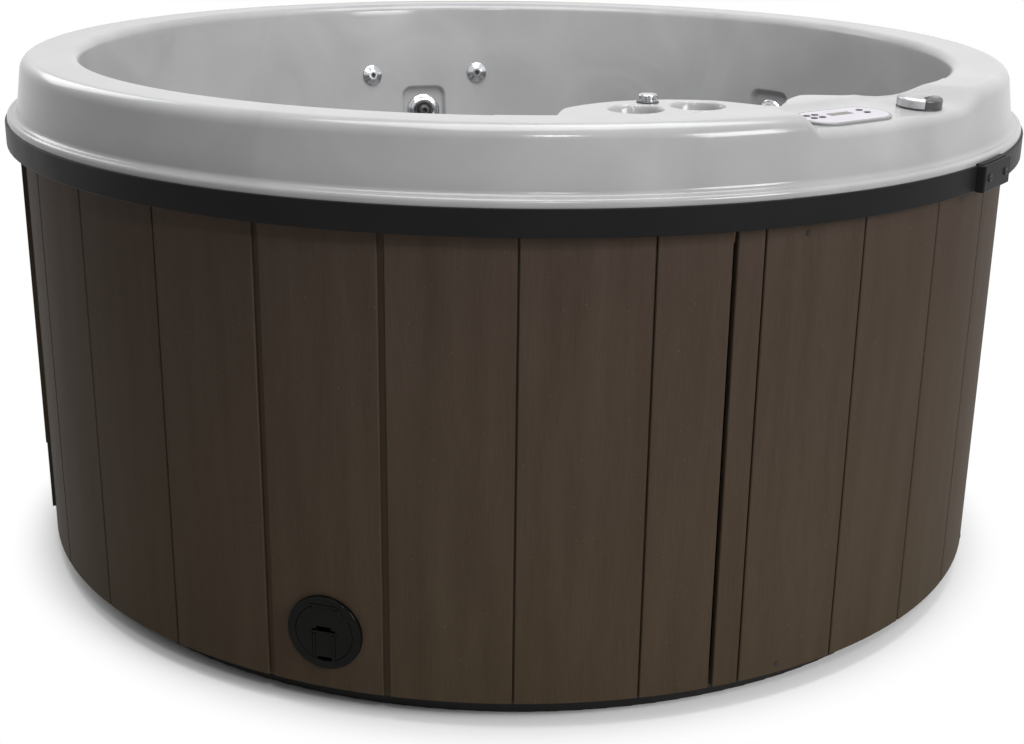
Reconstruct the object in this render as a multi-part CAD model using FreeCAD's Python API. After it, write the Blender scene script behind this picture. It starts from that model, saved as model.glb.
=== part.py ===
import FreeCAD, Part
import math
import os

from FreeCAD import Vector

# A round acrylic hot tub in a boarded cabinet, as separate pieces.
# The origin is on the ground under the tub's axis, with +Z up and the front at -Y.
# Sizes are in millimetres. Angles are degrees about the axis from the front, towards +X.

# Clearances
fit_gap = 0.3
running_gap = 0.05
full_turn = 360.0

# Base and frame
base_height = 40.0
base_floor = 12.0
base_setback = 50.0
base_lip = 14.0
base_edge = 3.0
frame_depth = 42.0
lower_ring_width = 97.0
lower_ring_height = 35.0
upper_ring_height = 50.0
post_angle = 3.6
post_count = 12
support_height = 97.0
support_setback = 60.0

# Cabinet boards
cabinet_radius = 960.0
board_thickness = 12.0
board_length = 800.0
board_foot_gap = 6.0
board_joint = 3.0
wide_joint = 11.0
board_lap = 14.0
board_bevel = 1.5
front_board_angle = 12.35
front_board_count = 7
first_joint_angle = 12.9
rear_board_count = 17

# Service door
door_seam_angle = 20.5
door_seam = 5.0
door_strip_angle = 3.1
door_board_angle = 11.75
door_board_count = 4
door_end_angle = 7.6
door_drop = 24.0
batten_depth = 18.0
batten_height = 60.0
batten_inset = 70.0
batten_clear_angle = 2.0
door_screw_radius = 4.5
door_screw_head = 1.2
door_screw_inset = 16.0
door_screw_angle = 7.7

# Board that stands proud at the left, with a dark strip below it
proud_start_angle = -83.6
proud_end_angle = -71.0
proud_thickness = 8.0
proud_foot = 236.0
strip_thickness = 6.0
strip_foot = 100.0

# Band and clip
band_overhang = 30.0
band_thickness = 4.0
band_height = 43.0
band_lap = 19.0
band_edge = 1.6
clip_angle = 54.4
clip_length = 122.0
clip_height = 46.0
clip_depth = 13.0
clip_hook = 3.0
clip_edge = 3.0
clip_screw_radius = 7.0
clip_screw_head = 2.5
clip_screw_spread = 74.0

# Shell
shell_wall = 6.0
lip_lap = 5.0
lip_edge = 7.0
flange_rise = 13.0
flange_width = 18.0
flare_radius = 11.0
flank_lean = 15.0
rim_rise = 102.0
rim_width = 103.0
rim_fall = 2.0
rim_outer_edge = 26.0
rim_inner_edge = 18.0
wall_lean = 58.0
seat_rise = 325.0
bench_width = 320.0
bench_fall = 12.0
bench_corner = 70.0
bench_edge = 40.0
footwell_lean = 42.0
footwell_corner = 60.0

# Deck with cup recesses: a drum against the wall, right of the front
deck_drop = 30.0
deck_angle = 21.0
deck_reach = 84.0
deck_radius = 228.0
deck_edge = 20.0
cup_radius = 43.0
cup_depth = 26.0
cup_taper = 4.0
cup_corner = 9.0
cup_lip = 5.0
cup_places = ((-32.0, 125.0), (82.0, 126.0), (62.0, 22.0))

# Control recess in the rim: its floor rises inward to a boss that fairs into the wall.
# The boss's corners are (reach in from the rim's inner edge, angle, rounding).
recess_drop = 23.5
recess_tilt = 3.0
recess_step = 28.0
recess_ramp = 100.0
recess_inset = 27.0
recess_slope = 20.0
recess_valley = 120.0
recess_edge = 20.0
recess_skin = 0.4
recess_lead = 3.0
recess_sections = 7
boss_drop = 9.0
boss_edge = 15.0
boss_corners = (
    (-4.0, 28.2, 0.0), (95.0, 36.0, 80.0), (116.0, 40.2, 45.0), (50.0, 45.0, 50.0), (16.0, 53.0, 120.0),
    (-4.0, 61.0, 0.0),
)

# Control panel
panel_angle = 35.3
panel_inset = 57.0
panel_clear = 6.0
panel_length = 178.0
panel_width = 85.0
panel_rise = 5.0
panel_sink = 2.0
panel_edge = 2.5
face_border = 5.0
face_thickness = 1.0
panel_body_length = 118.0
panel_body_width = 62.0
panel_body_depth = 26.0
panel_body_corner = 8.0
display_length = 50.0
display_width = 17.0
display_place = (-1.0, 8.5)
display_corner = 2.0
key_length = 12.0
key_width = 9.0
key_height = 3.0
key_proud = 0.9
key_travel = 0.7
key_places = (
    (-66.0, 17.0), (-48.0, 17.0), (-66.0, 0.0), (-48.0, 0.0), (50.0, 15.5), (50.0, -2.0),
)

# Diverter valve
valve_rest = -35.0
valve_inset = 50.0
valve_gap = 65.0
valve_clear = 8.0
valve_radius = 37.0
valve_flange = 3.0
valve_height = 15.0
valve_bore = 27.0
valve_depth = 66.0
valve_spindle = 8.0
valve_edge = 5.0
valve_crown = 1.5
grip_angle = 110.0
grip_inner = 13.0

# Air knob on the deck
knob_place = (17.0, 182.0)
knob_radius = 16.0
knob_height = 11.0
knob_seat_radius = 19.0
knob_seat_height = 3.0
knob_stem = 9.0
knob_depth = 45.0
knob_spindle = 5.0
knob_edge = 3.0
knob_crown = 1.0
knob_flutes = 9
knob_flute_radius = 2.2

# Jets
small_jet_angles = (-154.6, -173.3)
small_jet_drop = 170.0
small_jet_radius = 24.5
small_jet_rise = 9.5
small_jet_barrel = 17.0
small_jet_bore = 4.0
small_jet_spigot = 6.0
small_jet_crown = 5.0
large_jet_angles = (-163.8, 132.8)
large_jet_drops = (263.0, 230.0)
large_jet_radius = 41.0
large_jet_rise = 12.0
large_jet_barrel = 30.0
large_jet_ball = 17.0
large_jet_bore = 6.5
large_jet_eye = 23.0
jet_flange = 3.0
jet_skirt = 2.5
jet_edge = 2.0
jet_depth = 46.0
pocket_width = 113.0
pocket_height = 124.0
pocket_depth = 12.0
pocket_draft = 8.0
pocket_corner = 24.0

# Suction and filter
suction_angles = (22.0, 64.0)
suction_rise = 95.0
suction_radius = 52.0
suction_dome = 16.0
suction_barrel = 26.0
suction_depth = 62.0
suction_slots = 14
suction_slot_width = 3.0
grille_angle = 46.0
grille_foot_drop = 330.0
grille_height = 230.0
grille_thickness = 7.0
grille_slots = 8
grille_border = 16.0
cartridge_radius = 46.0
cartridge_length = 250.0
cartridge_place = (-60.0, 20.0)
cartridge_cap = 14.0
cartridge_pleats = 24

# Pump, heater and pipes
pump_angle = 38.0
pump_gap = 114.0
pump_axis = 118.0
motor_radius = 78.0
motor_length = 245.0
motor_nose = 18.0
fan_cover = 30.0
fin_count = 6
fin_width = 10.0
fin_depth = 5.5
volute_radius = 98.0
volute_length = 82.0
port_radius = 30.0
port_length = 44.0
saddle_length = 150.0
saddle_width = 130.0
pack_gap = 200.0
equipment_gap = 23.0
pack_length = 320.0
pack_depth = 125.0
pack_height = 200.0
pack_leg = 12.0
pack_corner = 10.0
heater_radius = 37.0
heater_length = 380.0
heater_axis = 98.0
pipe_radius = 24.0
pipe_bend = 45.0
ring_main_radius = 22.0
ring_main_gap = 20.0
ring_main_clear = 30.0
hose_radius = 12.0

# Cord hatch
hatch_angle = -18.0
hatch_height = 148.0
hatch_radius = 65.0
hatch_rise = 6.5
hatch_edge = 2.5
hatch_opening = 50.5
collar_wall = 3.0
collar_depth = 42.0
lid_gap = 0.5
lid_thickness = 4.2
hinge_offset = 48.0
hinge_length = 40.0
hinge_barrel = 3.0
hinge_pin = 1.2
hinge_ear = 6.0
hinge_drop = 0.5
lid_edge = 1.2
lid_crown = 1.0
flap_width = 40.0
flap_top = 4.0
flap_foot = 43.0
flap_thickness = 2.8
flap_rail = 2.4
notch_width = 26.0
notch_height = 8.0
hatch_screw_radius = 4.0
hatch_screw_circle = 57.5
hatch_screw_shank = 1.8
hatch_screw_head = 0.8
hatch_screw_angles = (30.0, 150.0, 270.0)

# Heights and radii that follow from the sizes above
board_foot = base_height + board_foot_gap
board_top = board_foot + board_length
band_foot = board_top - band_lap
band_top = band_foot + band_height
flange_height = band_top + flange_rise
rim_height = flange_height + rim_rise
deck_height = rim_height - deck_drop
floor_height = base_floor + support_height + shell_wall
bench_height = floor_height + seat_rise
board_inner = cabinet_radius - board_thickness
frame_radius = board_inner - fit_gap
frame_inner = frame_radius - frame_depth
base_radius = cabinet_radius - base_setback
band_radius = cabinet_radius + band_overhang
lip_radius = band_radius - band_thickness - fit_gap
flank_foot = lip_radius - flange_width
rim_outer = flank_foot - flank_lean
rim_inner = rim_outer - rim_width
wall_foot = rim_inner - wall_lean
bench_inner = wall_foot - bench_width
footwell_radius = bench_inner - footwell_lean
deck_axis = rim_inner - deck_reach
panel_reach = rim_outer - panel_inset
valve_reach = rim_outer - valve_inset
door_left = door_seam_angle
door_right = door_left + door_strip_angle + door_board_count * door_board_angle + door_end_angle
up = Vector(0, 0, 1)


def polar(radius, angle, height=0.0):
    """Point at a radius and height on the half plane at an angle from the front."""
    turn = math.radians(angle)
    return Vector(radius * math.sin(turn), -radius * math.cos(turn), height)


def degrees_of(length, radius):
    """Angle that an arc of this length takes at a radius."""
    return math.degrees(length / radius)


def rounded_loop(corners, place):
    """Closed wire through (u, v, radius) corners, each rounded by a tangent arc."""
    spots = [Vector(corner[0], corner[1], 0) for corner in corners]
    knots = []
    for i, here in enumerate(spots):
        radius = corners[i][2] if len(corners[i]) > 2 else 0.0
        way_in = (here - spots[i - 1]).normalize()
        way_out = (spots[(i + 1) % len(spots)] - here).normalize()
        turn = way_in.getAngle(way_out)
        if radius < 1e-6 or turn < 1e-6:
            knots.append((here, here, here))
            continue
        reach = radius * math.tan(turn / 2)
        bulge = radius * (1 / math.cos(turn / 2) - 1)
        inward = (way_out - way_in).normalize()
        knots.append((here - way_in * reach, here + inward * bulge, here + way_out * reach))
    edges = []
    for i, (start, middle, end) in enumerate(knots):
        follower = knots[(i + 1) % len(knots)][0]
        if start.distanceToPoint(end) > 1e-6:
            edges.append(Part.Arc(place(start), place(middle), place(end)).toShape())
        if end.distanceToPoint(follower) > 1e-6:
            edges.append(Part.makeLine(place(end), place(follower)))
    return Part.Wire(edges)


def turned(corners, start=0.0, sweep=full_turn):
    """Solid of a (radius, height) profile turned about the Z axis from a start angle."""
    wire = rounded_loop(corners, lambda spot: Vector(0, -spot.x, spot.y))
    solid = Part.Face(wire).revolve(Vector(), up, sweep)
    return solid.rotated(Vector(), up, start)


def prism(corners, foot, top):
    """Solid of a rounded plan outline between two heights."""
    wire = rounded_loop(corners, lambda spot: Vector(spot.x, spot.y, foot))
    return Part.Face(wire).extrude(Vector(0, 0, top - foot))


def oblong(length, width, corner, centre=(0.0, 0.0)):
    """Corners of a rounded rectangle about a centre."""
    x, y = centre
    signs = ((1, 1), (-1, 1), (-1, -1), (1, -1))
    return [(x + a * length / 2, y + b * width / 2, corner) for a, b in signs]


def ring_prism(vertices, foot, top):
    """Solid between two heights of a plan outline of (radius, angle) vertices.

    Neighbours at one radius are joined by an arc about the axis, others by a straight edge.
    """
    edges = []
    for i, (radius, angle) in enumerate(vertices):
        next_radius, next_angle = vertices[(i + 1) % len(vertices)]
        start = polar(radius, angle, foot)
        end = polar(next_radius, next_angle, foot)
        if start.distanceToPoint(end) < 1e-6:
            continue
        if abs(radius - next_radius) < 1e-6:
            middle = polar(radius, (angle + next_angle) / 2, foot)
            edges.append(Part.Arc(start, middle, end).toShape())
        else:
            edges.append(Part.makeLine(start, end))
    return Part.Face(Part.Wire(edges)).extrude(Vector(0, 0, top - foot))


def placed(shape, origin, out, upward=up):
    """Copy of a shape made about the origin, facing +Z with +Y up, set to face another way."""
    z = Vector(out).normalize()
    y = (upward - z * upward.dot(z)).normalize()
    x = y.cross(z)
    spot = Vector(origin)
    matrix = FreeCAD.Matrix(
        x.x, y.x, z.x, spot.x,
        x.y, y.y, z.y, spot.y,
        x.z, y.z, z.z, spot.z,
    )
    moved = shape.copy()
    moved.Placement = FreeCAD.Placement(matrix).multiply(moved.Placement)
    return moved


def rod(radius, start, end):
    """Round bar between two points."""
    way = end - start
    return Part.makeCylinder(radius, way.Length, start, way)


def piped(points, radius, bend):
    """Round pipe through points, with a bend of one radius at each inner point."""
    edges = []
    last = points[0]
    for before, here, after in zip(points, points[1:], points[2:]):
        way_in = (here - before).normalize()
        way_out = (after - here).normalize()
        turn = way_in.getAngle(way_out)
        reach = bend * math.tan(turn / 2)
        inward = (way_out - way_in).normalize()
        middle = here + inward * (bend * (1 / math.cos(turn / 2) - 1))
        edges.append(Part.makeLine(last, here - way_in * reach))
        last = here + way_out * reach
        edges.append(Part.Arc(here - way_in * reach, middle, last).toShape())
    edges.append(Part.makeLine(last, points[-1]))
    section = Part.Wire(Part.makeCircle(radius, points[0], points[1] - points[0]))
    return Part.Wire(edges).makePipeShell([section], True, False)


def whole(shape):
    """The one solid that a cut or a join left."""
    if len(shape.Solids) != 1:
        raise ValueError("expected one solid, found %d" % len(shape.Solids))
    return shape.Solids[0]


parts = {}


def keep(name, *solids):
    """Names one piece, or a group of like pieces."""
    parts[name] = solids[0] if len(solids) == 1 else Part.makeCompound(list(solids))
    return parts[name]


# Acrylic shell: one moulded sheet, from the lip over the rim and down to the footwell


def flank_radius(height):
    """Radius of the rim's outer flank at a height."""
    return flank_foot - flank_lean * (height - flange_height) / rim_rise


def wall_radius(height):
    """Radius of the tub's inner wall at a height."""
    top = rim_height - rim_fall
    return rim_inner - wall_lean * (top - height) / (top - bench_height)


def footwell_wall(height):
    """Radius of the footwell's wall at a height."""
    top = bench_height - bench_fall
    return bench_inner - footwell_lean * (top - height) / (top - floor_height)


recess_full = panel_angle - degrees_of(panel_length / 2 + panel_clear, panel_reach)
recess_start = recess_full - degrees_of(recess_step, panel_reach)
valve_angle = panel_angle + degrees_of(panel_length / 2 + valve_gap + valve_radius, valve_reach)
recess_ease = valve_angle + degrees_of(valve_radius + valve_clear, valve_reach)
recess_end = recess_ease + degrees_of(recess_ramp, valve_reach)


def drawn_in(corners, distance):
    """An open run of corners moved to its left by a distance, with radii to suit."""
    spots = [Vector(u, v, 0) for u, v, radius in corners]
    ways = [(after - before).normalize() for before, after in zip(spots, spots[1:])]
    sides = [Vector(-way.y, way.x, 0) * distance for way in ways]
    moved = [(spots[0].x + sides[0].x, spots[0].y + sides[0].y, 0.0)]
    for i in range(1, len(spots) - 1):
        bend = ways[i - 1].cross(ways[i]).z
        half = (sides[i - 1] + sides[i]) / 2
        spot = spots[i] + half * (distance * distance / half.dot(half)) if distance else spots[i]
        radius = corners[i][2] - math.copysign(distance, bend)
        moved.append((spot.x, spot.y, radius))
    moved.append((spots[-1].x + sides[-1].x, spots[-1].y + sides[-1].y, 0.0))
    return moved


def recess_level(radius, depth=recess_drop):
    """Height of the recess's floor at a radius, for a depth under the rim's outer edge."""
    return rim_height - depth + (rim_outer - radius) * math.tan(math.radians(recess_tilt))


def recess_section(angle, depth, wall):
    """Section of what the control recess takes out of the rim, at one angle."""
    outer = flank_radius(rim_height - depth) - recess_skin
    edge = recess_level(outer, depth)
    low = edge - recess_edge
    inner = rim_inner - recess_inset
    floor = recess_level(inner, depth)
    above = rim_height + 2 * recess_drop
    reach = (above - floor) / math.tan(math.radians(recess_slope))
    run = drawn_in([
        (flank_radius(low) - recess_skin, low, 0.0), (outer, edge, recess_edge),
        (inner, floor, recess_valley), (inner - reach, above, 0.0),
    ], wall)
    clear = lip_radius + recess_drop
    corners = run + [(clear, run[-1][1]), (clear, run[0][1])]
    turn = math.radians(angle)
    along = Vector(math.sin(turn), -math.cos(turn), 0)
    return rounded_loop(corners, lambda spot: along * spot.x + up * spot.y)


def control_recess(wall):
    """The recess: turned between its full angles, steep at its left end, easing out at its right."""
    def ease(share):
        return share * share * (3 - 2 * share)

    def end_piece(foot, full, shift):
        sections = []
        for i in range(recess_sections):
            share = i / (recess_sections - 1)
            depth = (recess_drop + recess_lead) * ease(share) - recess_lead
            sections.append(recess_section(foot + (full - foot) * share + shift, depth, wall))
        return Part.makeLoft(sections, True, False)

    spread = degrees_of(wall, rim_outer)
    middle = Part.Face(recess_section(recess_full - spread, recess_drop, wall))
    middle = middle.revolve(Vector(), up, recess_ease - recess_full + 2 * spread)
    left = end_piece(recess_start, recess_full, -spread)
    right = end_piece(recess_end, recess_ease, spread)
    return middle.fuse([left, right])


def deck_spot(place, height):
    """Point on the deck at (right, inward) from the drum's axis."""
    axis = polar(deck_axis, deck_angle, height)
    inward = polar(-1, deck_angle)
    return axis + inward.cross(up) * place[0] + inward * place[1]


def drum(radius, edge, height, foot, axis):
    """Upright drum with a rounded top edge that stays inside the rim."""
    corners = [(0, foot), (radius, foot), (radius, height, edge), (0, height)]
    body = turned(corners).translated(axis)
    middle = rim_outer - rim_width / 2
    return body.common(Part.makeCylinder(middle, 2 * rim_height))


def control_boss(wall, foot):
    """Boss behind the recess, with a rounded top edge, faired into the wall towards its right."""
    run = []
    for reach, angle, rounding in reversed(boss_corners):
        spot = polar(rim_inner - reach, angle)
        run.append((spot.x, spot.y, rounding))
    middle = rim_outer - rim_width / 2
    ends = [polar(middle, boss_corners[0][1]), polar(middle, boss_corners[-1][1])]
    outline = drawn_in(run, wall) + [(spot.x, spot.y) for spot in ends]
    top = rim_height - boss_drop - wall
    body = prism(outline, foot, top)
    rim = []
    for edge in body.Edges:
        spot = edge.valueAt((edge.FirstParameter + edge.LastParameter) / 2)
        if abs(edge.BoundBox.ZMin - top) < 1e-6 and math.hypot(spot.x, spot.y) < rim_inner:
            rim.append(edge)
    return body.makeFillet(boss_edge - wall, rim)


def jet_seat(angle, height, depth=0.0):
    """Point on the wall, sunk by a depth, and the way that a fitting there faces."""
    slope = math.atan2(wall_lean, rim_height - rim_fall - bench_height)
    out = polar(-math.cos(slope), angle, math.sin(slope))
    return polar(wall_radius(height), angle, height) - out * depth, out


def jet_pocket(angle, height, wall):
    """Tapered hollow in the wall that a large jet sits in."""
    spot, out = jet_seat(angle, height)
    grow = 2 * wall
    reach = pocket_width / 2
    widen = 2 * pocket_draft * (reach + pocket_depth) / pocket_depth
    size = (pocket_width - 2 * pocket_draft + grow, pocket_height - 2 * pocket_draft + grow)
    inner = oblong(size[0], size[1], pocket_corner - pocket_draft + wall)
    outer = oblong(size[0] + widen, size[1] + widen, pocket_corner - pocket_draft + wall + widen / 4)
    wires = []
    for corners, level in ((inner, -pocket_depth - wall), (outer, reach - wall)):
        wires.append(rounded_loop(corners, lambda spot, level=level: Vector(spot.x, spot.y, level)))
    return placed(Part.makeLoft(wires, True, True), spot, out)


def cup_hollow(place, wall):
    """Hollow of one cup, with a rounded mouth where it meets the deck."""
    floor = deck_height - cup_depth - wall
    corners = [
        (0, floor),
        (cup_radius - cup_taper + wall, floor, cup_corner),
        (cup_radius + wall, deck_height, 0.0 if wall else cup_lip),
        (cup_radius + wall + 2 * cup_lip, deck_height + 0.2),
        (cup_radius + wall + 2 * cup_lip, rim_height),
        (0, rim_height),
    ]
    return turned(corners).translated(deck_spot(place, 0))


def shell_mass(wall):
    """Everything under the finished face, or under the hidden face a wall deeper."""
    run = [
        (lip_radius, band_foot + lip_lap, 0.0),
        (lip_radius, flange_height, lip_edge),
        (flank_foot, flange_height, flare_radius),
        (rim_outer, rim_height, rim_outer_edge),
        (rim_inner, rim_height - rim_fall, rim_inner_edge),
        (wall_foot, bench_height, bench_corner),
        (bench_inner, bench_height - bench_fall, bench_edge),
        (footwell_radius, floor_height, footwell_corner),
        (0, floor_height, 0.0),
    ]
    under = base_floor - wall
    corners = drawn_in(run, wall) + [(0, under), (lip_radius + 2 * wall, under)]
    if wall:
        corners.append((lip_radius + 2 * wall, band_foot + lip_lap))
    mass = turned(corners)
    low = bench_height - 2 * bench_fall - wall
    drum_axis = polar(deck_axis, deck_angle)
    deck = drum(deck_radius - wall, deck_edge - wall, deck_height - wall, low, drum_axis)
    mass = mass.fuse([deck, control_boss(wall, low)])
    hollows = [control_recess(wall)]
    hollows += [cup_hollow(place, wall) for place in cup_places]
    for angle, drop in zip(large_jet_angles, large_jet_drops):
        hollows.append(jet_pocket(angle, rim_height - drop, wall))
    return mass.cut(hollows)


finished = shell_mass(0.0)
shell = finished.cut(shell_mass(shell_wall))
tilt = math.radians(recess_tilt)
panel_spot = polar(panel_reach, panel_angle, recess_level(panel_reach))
panel_out = polar(math.sin(tilt), panel_angle, math.cos(tilt))
panel_way = polar(-1, panel_angle)
valve_spot = polar(valve_reach, valve_angle, recess_level(valve_reach))
valve_out = polar(math.sin(tilt), valve_angle, math.cos(tilt))
knob_spot = deck_spot(knob_place, deck_height)
cartridge_spot = deck_spot(cartridge_place, deck_height - shell_wall)
suction_height = floor_height + suction_rise
grille_foot = deck_height - grille_foot_drop
openings = [
    placed(prism(oblong(panel_body_length + 2 * fit_gap, panel_body_width + 2 * fit_gap, panel_body_corner),
                 -2 * shell_wall, shell_wall), panel_spot, panel_out, panel_way),
    rod(valve_bore + fit_gap, valve_spot - valve_out * 2 * shell_wall, valve_spot + valve_out * shell_wall),
    rod(knob_stem + fit_gap, knob_spot - up * 2 * shell_wall, knob_spot + up * shell_wall),
]
for angle in small_jet_angles:
    spot, out = jet_seat(angle, rim_height - small_jet_drop)
    opening = rod(small_jet_barrel + fit_gap, spot - out * 3 * shell_wall, spot + out * shell_wall)
    openings.append(opening)
for angle, drop in zip(large_jet_angles, large_jet_drops):
    spot, out = jet_seat(angle, rim_height - drop, pocket_depth)
    opening = rod(large_jet_barrel + fit_gap, spot - out * 3 * shell_wall, spot + out * shell_wall)
    openings.append(opening)
for angle in suction_angles:
    spot = polar(footwell_wall(suction_height), angle, suction_height)
    out = polar(1, angle)
    opening = rod(suction_barrel + fit_gap, spot - out * 3 * shell_wall, spot + out * 4 * shell_wall)
    openings.append(opening)
window = grille_angle / 2 - degrees_of(grille_border, deck_radius)
opening_half = [
    (deck_radius - 2 * shell_wall, 180 - window), (deck_radius + shell_wall, 180 - window),
    (deck_radius + shell_wall, 180 + window), (deck_radius - 2 * shell_wall, 180 + window),
]
grille_top = grille_foot + grille_height
grille_opening = ring_prism(opening_half, grille_foot + grille_border, grille_top - grille_border)
grille_opening = grille_opening.rotated(Vector(), up, deck_angle)
openings.append(grille_opening.translated(polar(deck_axis, deck_angle)))
keep("acrylic_shell", whole(shell.cut(openings)))

# Base pan, frame and the support under the footwell

keep("base_pan", turned([
    (0, 0), (base_radius, 0, base_edge), (base_radius, base_height, base_edge),
    (base_radius - base_lip, base_height), (base_radius - base_lip, base_floor, 2 * base_edge),
    (0, base_floor),
]))
lower_ring_top = base_height + lower_ring_height
keep("lower_frame_ring", turned([
    (frame_radius - lower_ring_width, base_height), (frame_radius, base_height),
    (frame_radius, lower_ring_top), (frame_radius - lower_ring_width, lower_ring_top),
]))
cap_foot = board_top + board_foot_gap / 2
nailer_foot = cap_foot - upper_ring_height
cap_radius = lip_radius - shell_wall - fit_gap
keep("upper_frame_ring", turned([
    (frame_inner, nailer_foot), (frame_radius, nailer_foot), (frame_radius, cap_foot),
    (cap_radius, cap_foot), (cap_radius, flange_height - shell_wall, base_edge),
    (frame_inner, flange_height - shell_wall),
]))
post_start = door_right + post_angle
post_pitch = (full_turn - (door_right - door_left) - 3 * post_angle) / (post_count - 1)
post_corners = [
    (frame_inner, lower_ring_top), (frame_radius, lower_ring_top),
    (frame_radius, nailer_foot), (frame_inner, nailer_foot),
]
keep("frame_posts", *[
    turned(post_corners, post_start + i * post_pitch, post_angle) for i in range(post_count)
])
support_radius = footwell_radius - support_setback
keep("footwell_support", turned([
    (0, base_floor), (support_radius, base_floor), (support_radius, base_floor + support_height, base_edge),
    (0, base_floor + support_height),
]))

# Cabinet boards: bent boards with lapped joints, one tongue under the next board's edge


def board(start, end, foot, top, joints=(board_joint, board_joint), laps=(True, True)):
    """One upright board between two joint lines, with its bevelled face edges."""
    middle = cabinet_radius - board_thickness / 2
    left = start + degrees_of(joints[0] / 2, cabinet_radius)
    right = end - degrees_of(joints[1] / 2, cabinet_radius)
    relief = start + degrees_of(board_lap + fit_gap, cabinet_radius) if laps[0] else left
    tongue = end + degrees_of(board_lap - fit_gap, cabinet_radius) if laps[1] else right
    bevel = degrees_of(board_bevel, cabinet_radius)
    shoulder = cabinet_radius - board_bevel
    return ring_prism([
        (shoulder, left), (cabinet_radius, left + bevel),
        (cabinet_radius, right - bevel), (shoulder, right),
        (middle - fit_gap / 2 if laps[1] else board_inner, right),
        (middle - fit_gap / 2 if laps[1] else board_inner, tongue),
        (board_inner, tongue), (board_inner, relief),
        (middle + fit_gap / 2 if laps[0] else board_inner, relief),
        (middle + fit_gap / 2 if laps[0] else board_inner, left),
    ], foot, top)


seam = degrees_of(door_seam / 2, cabinet_radius)
front_end = first_joint_angle - front_board_count * front_board_angle
hatch_spot = polar(cabinet_radius, hatch_angle, hatch_height)
hatch_out = polar(1, hatch_angle)
hatch_cuts = [rod(hatch_opening + collar_wall + lid_gap, hatch_spot - hatch_out * 3 * board_thickness,
                  hatch_spot + hatch_out * board_thickness)]
hatch_screw_spots = []
for angle in hatch_screw_angles:
    turn = math.radians(angle)
    spot = Vector(hatch_screw_circle * math.cos(turn), hatch_screw_circle * math.sin(turn), 0)
    hatch_screw_spots.append(spot)
    shank = Part.makeCylinder(hatch_screw_shank, 2 * board_thickness, spot - up * 1.5 * board_thickness)
    hatch_cuts.append(placed(shank, hatch_spot, hatch_out))

last_board = board(first_joint_angle, door_left - seam, board_foot, board_top, laps=(True, False))
keep("cabinet_board_1", last_board)
for number in range(front_board_count):
    end = first_joint_angle - number * front_board_angle
    start = end - front_board_angle
    holds_hatch = start < hatch_angle < end
    beside_left = start < hatch_angle + front_board_angle < end
    beside_right = start < hatch_angle - front_board_angle < end
    joints = (wide_joint if holds_hatch or beside_left else board_joint,
              wide_joint if holds_hatch or beside_right else board_joint)
    solid = board(start, end, board_foot, board_top, joints)
    if holds_hatch:
        solid = whole(solid.cut(hatch_cuts))
    keep("cabinet_board_%d" % (number + 2), solid)
rear_pitch = (full_turn - (door_right - front_end)) / rear_board_count
rear_boards = []
for number in range(rear_board_count):
    start = door_right - full_turn + number * rear_pitch
    edge = start + (seam if number == 0 else 0.0)
    rear_boards.append(board(edge, start + rear_pitch, board_foot, board_top, laps=(number > 0, True)))
keep("rear_boards", *rear_boards)

proud_face = cabinet_radius + proud_thickness
keep("proud_board", ring_prism([
    (cabinet_radius, proud_start_angle), (proud_face, proud_start_angle),
    (proud_face, proud_end_angle), (cabinet_radius, proud_end_angle),
], proud_foot, band_foot - fit_gap))
strip_face = cabinet_radius + strip_thickness
keep("lower_strip", ring_prism([
    (cabinet_radius, proud_start_angle), (strip_face, proud_start_angle),
    (strip_face, proud_end_angle), (cabinet_radius, proud_end_angle),
], strip_foot, proud_foot))

# Service door: boards on two bent battens, held by screws, that lifts straight out

door_top = board_top - door_drop
door_joints = [door_left, door_left + door_strip_angle]
for number in range(door_board_count):
    door_joints.append(door_joints[-1] + door_board_angle)
door_joints.append(door_right)
door_boards = []
for number, (start, end) in enumerate(zip(door_joints, door_joints[1:])):
    first = number == 0
    last = end == door_right
    left_edge = start + (seam if first else 0.0)
    right_edge = end - (seam if last else 0.0)
    door_boards.append(board(left_edge, right_edge, board_foot, door_top, laps=(not first, not last)))
batten_left = door_left + batten_clear_angle
batten_right = door_right - batten_clear_angle
batten_back = board_inner - batten_depth
battens = []
for foot in (lower_ring_top + batten_inset, nailer_foot - batten_inset - batten_height):
    battens.append(ring_prism([
        (batten_back, batten_left), (board_inner, batten_left),
        (board_inner, batten_right), (batten_back, batten_right),
    ], foot, foot + batten_height))
door_screws = []
for angle in (door_left + door_screw_angle, door_right - door_screw_angle):
    for height in (board_foot + door_screw_inset, door_top - door_screw_inset):
        spot = polar(cabinet_radius, angle, height)
        out = polar(1, angle)
        shank = rod(door_screw_radius / 2, spot - out * (board_thickness - fit_gap), spot)
        head = placed(turned([
            (0, -door_screw_head), (door_screw_radius, -door_screw_head),
            (door_screw_radius, door_screw_head, door_screw_head / 2), (0, door_screw_head),
        ]), spot, out)
        door_screws.append(whole(shank.fuse(head)))
keep("door_boards", *[whole(solid.cut(door_screws)) for solid in door_boards])
keep("door_battens", *battens)
keep("door_screws", *door_screws)

# Band round the lip, with the clip that joins its ends

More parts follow.
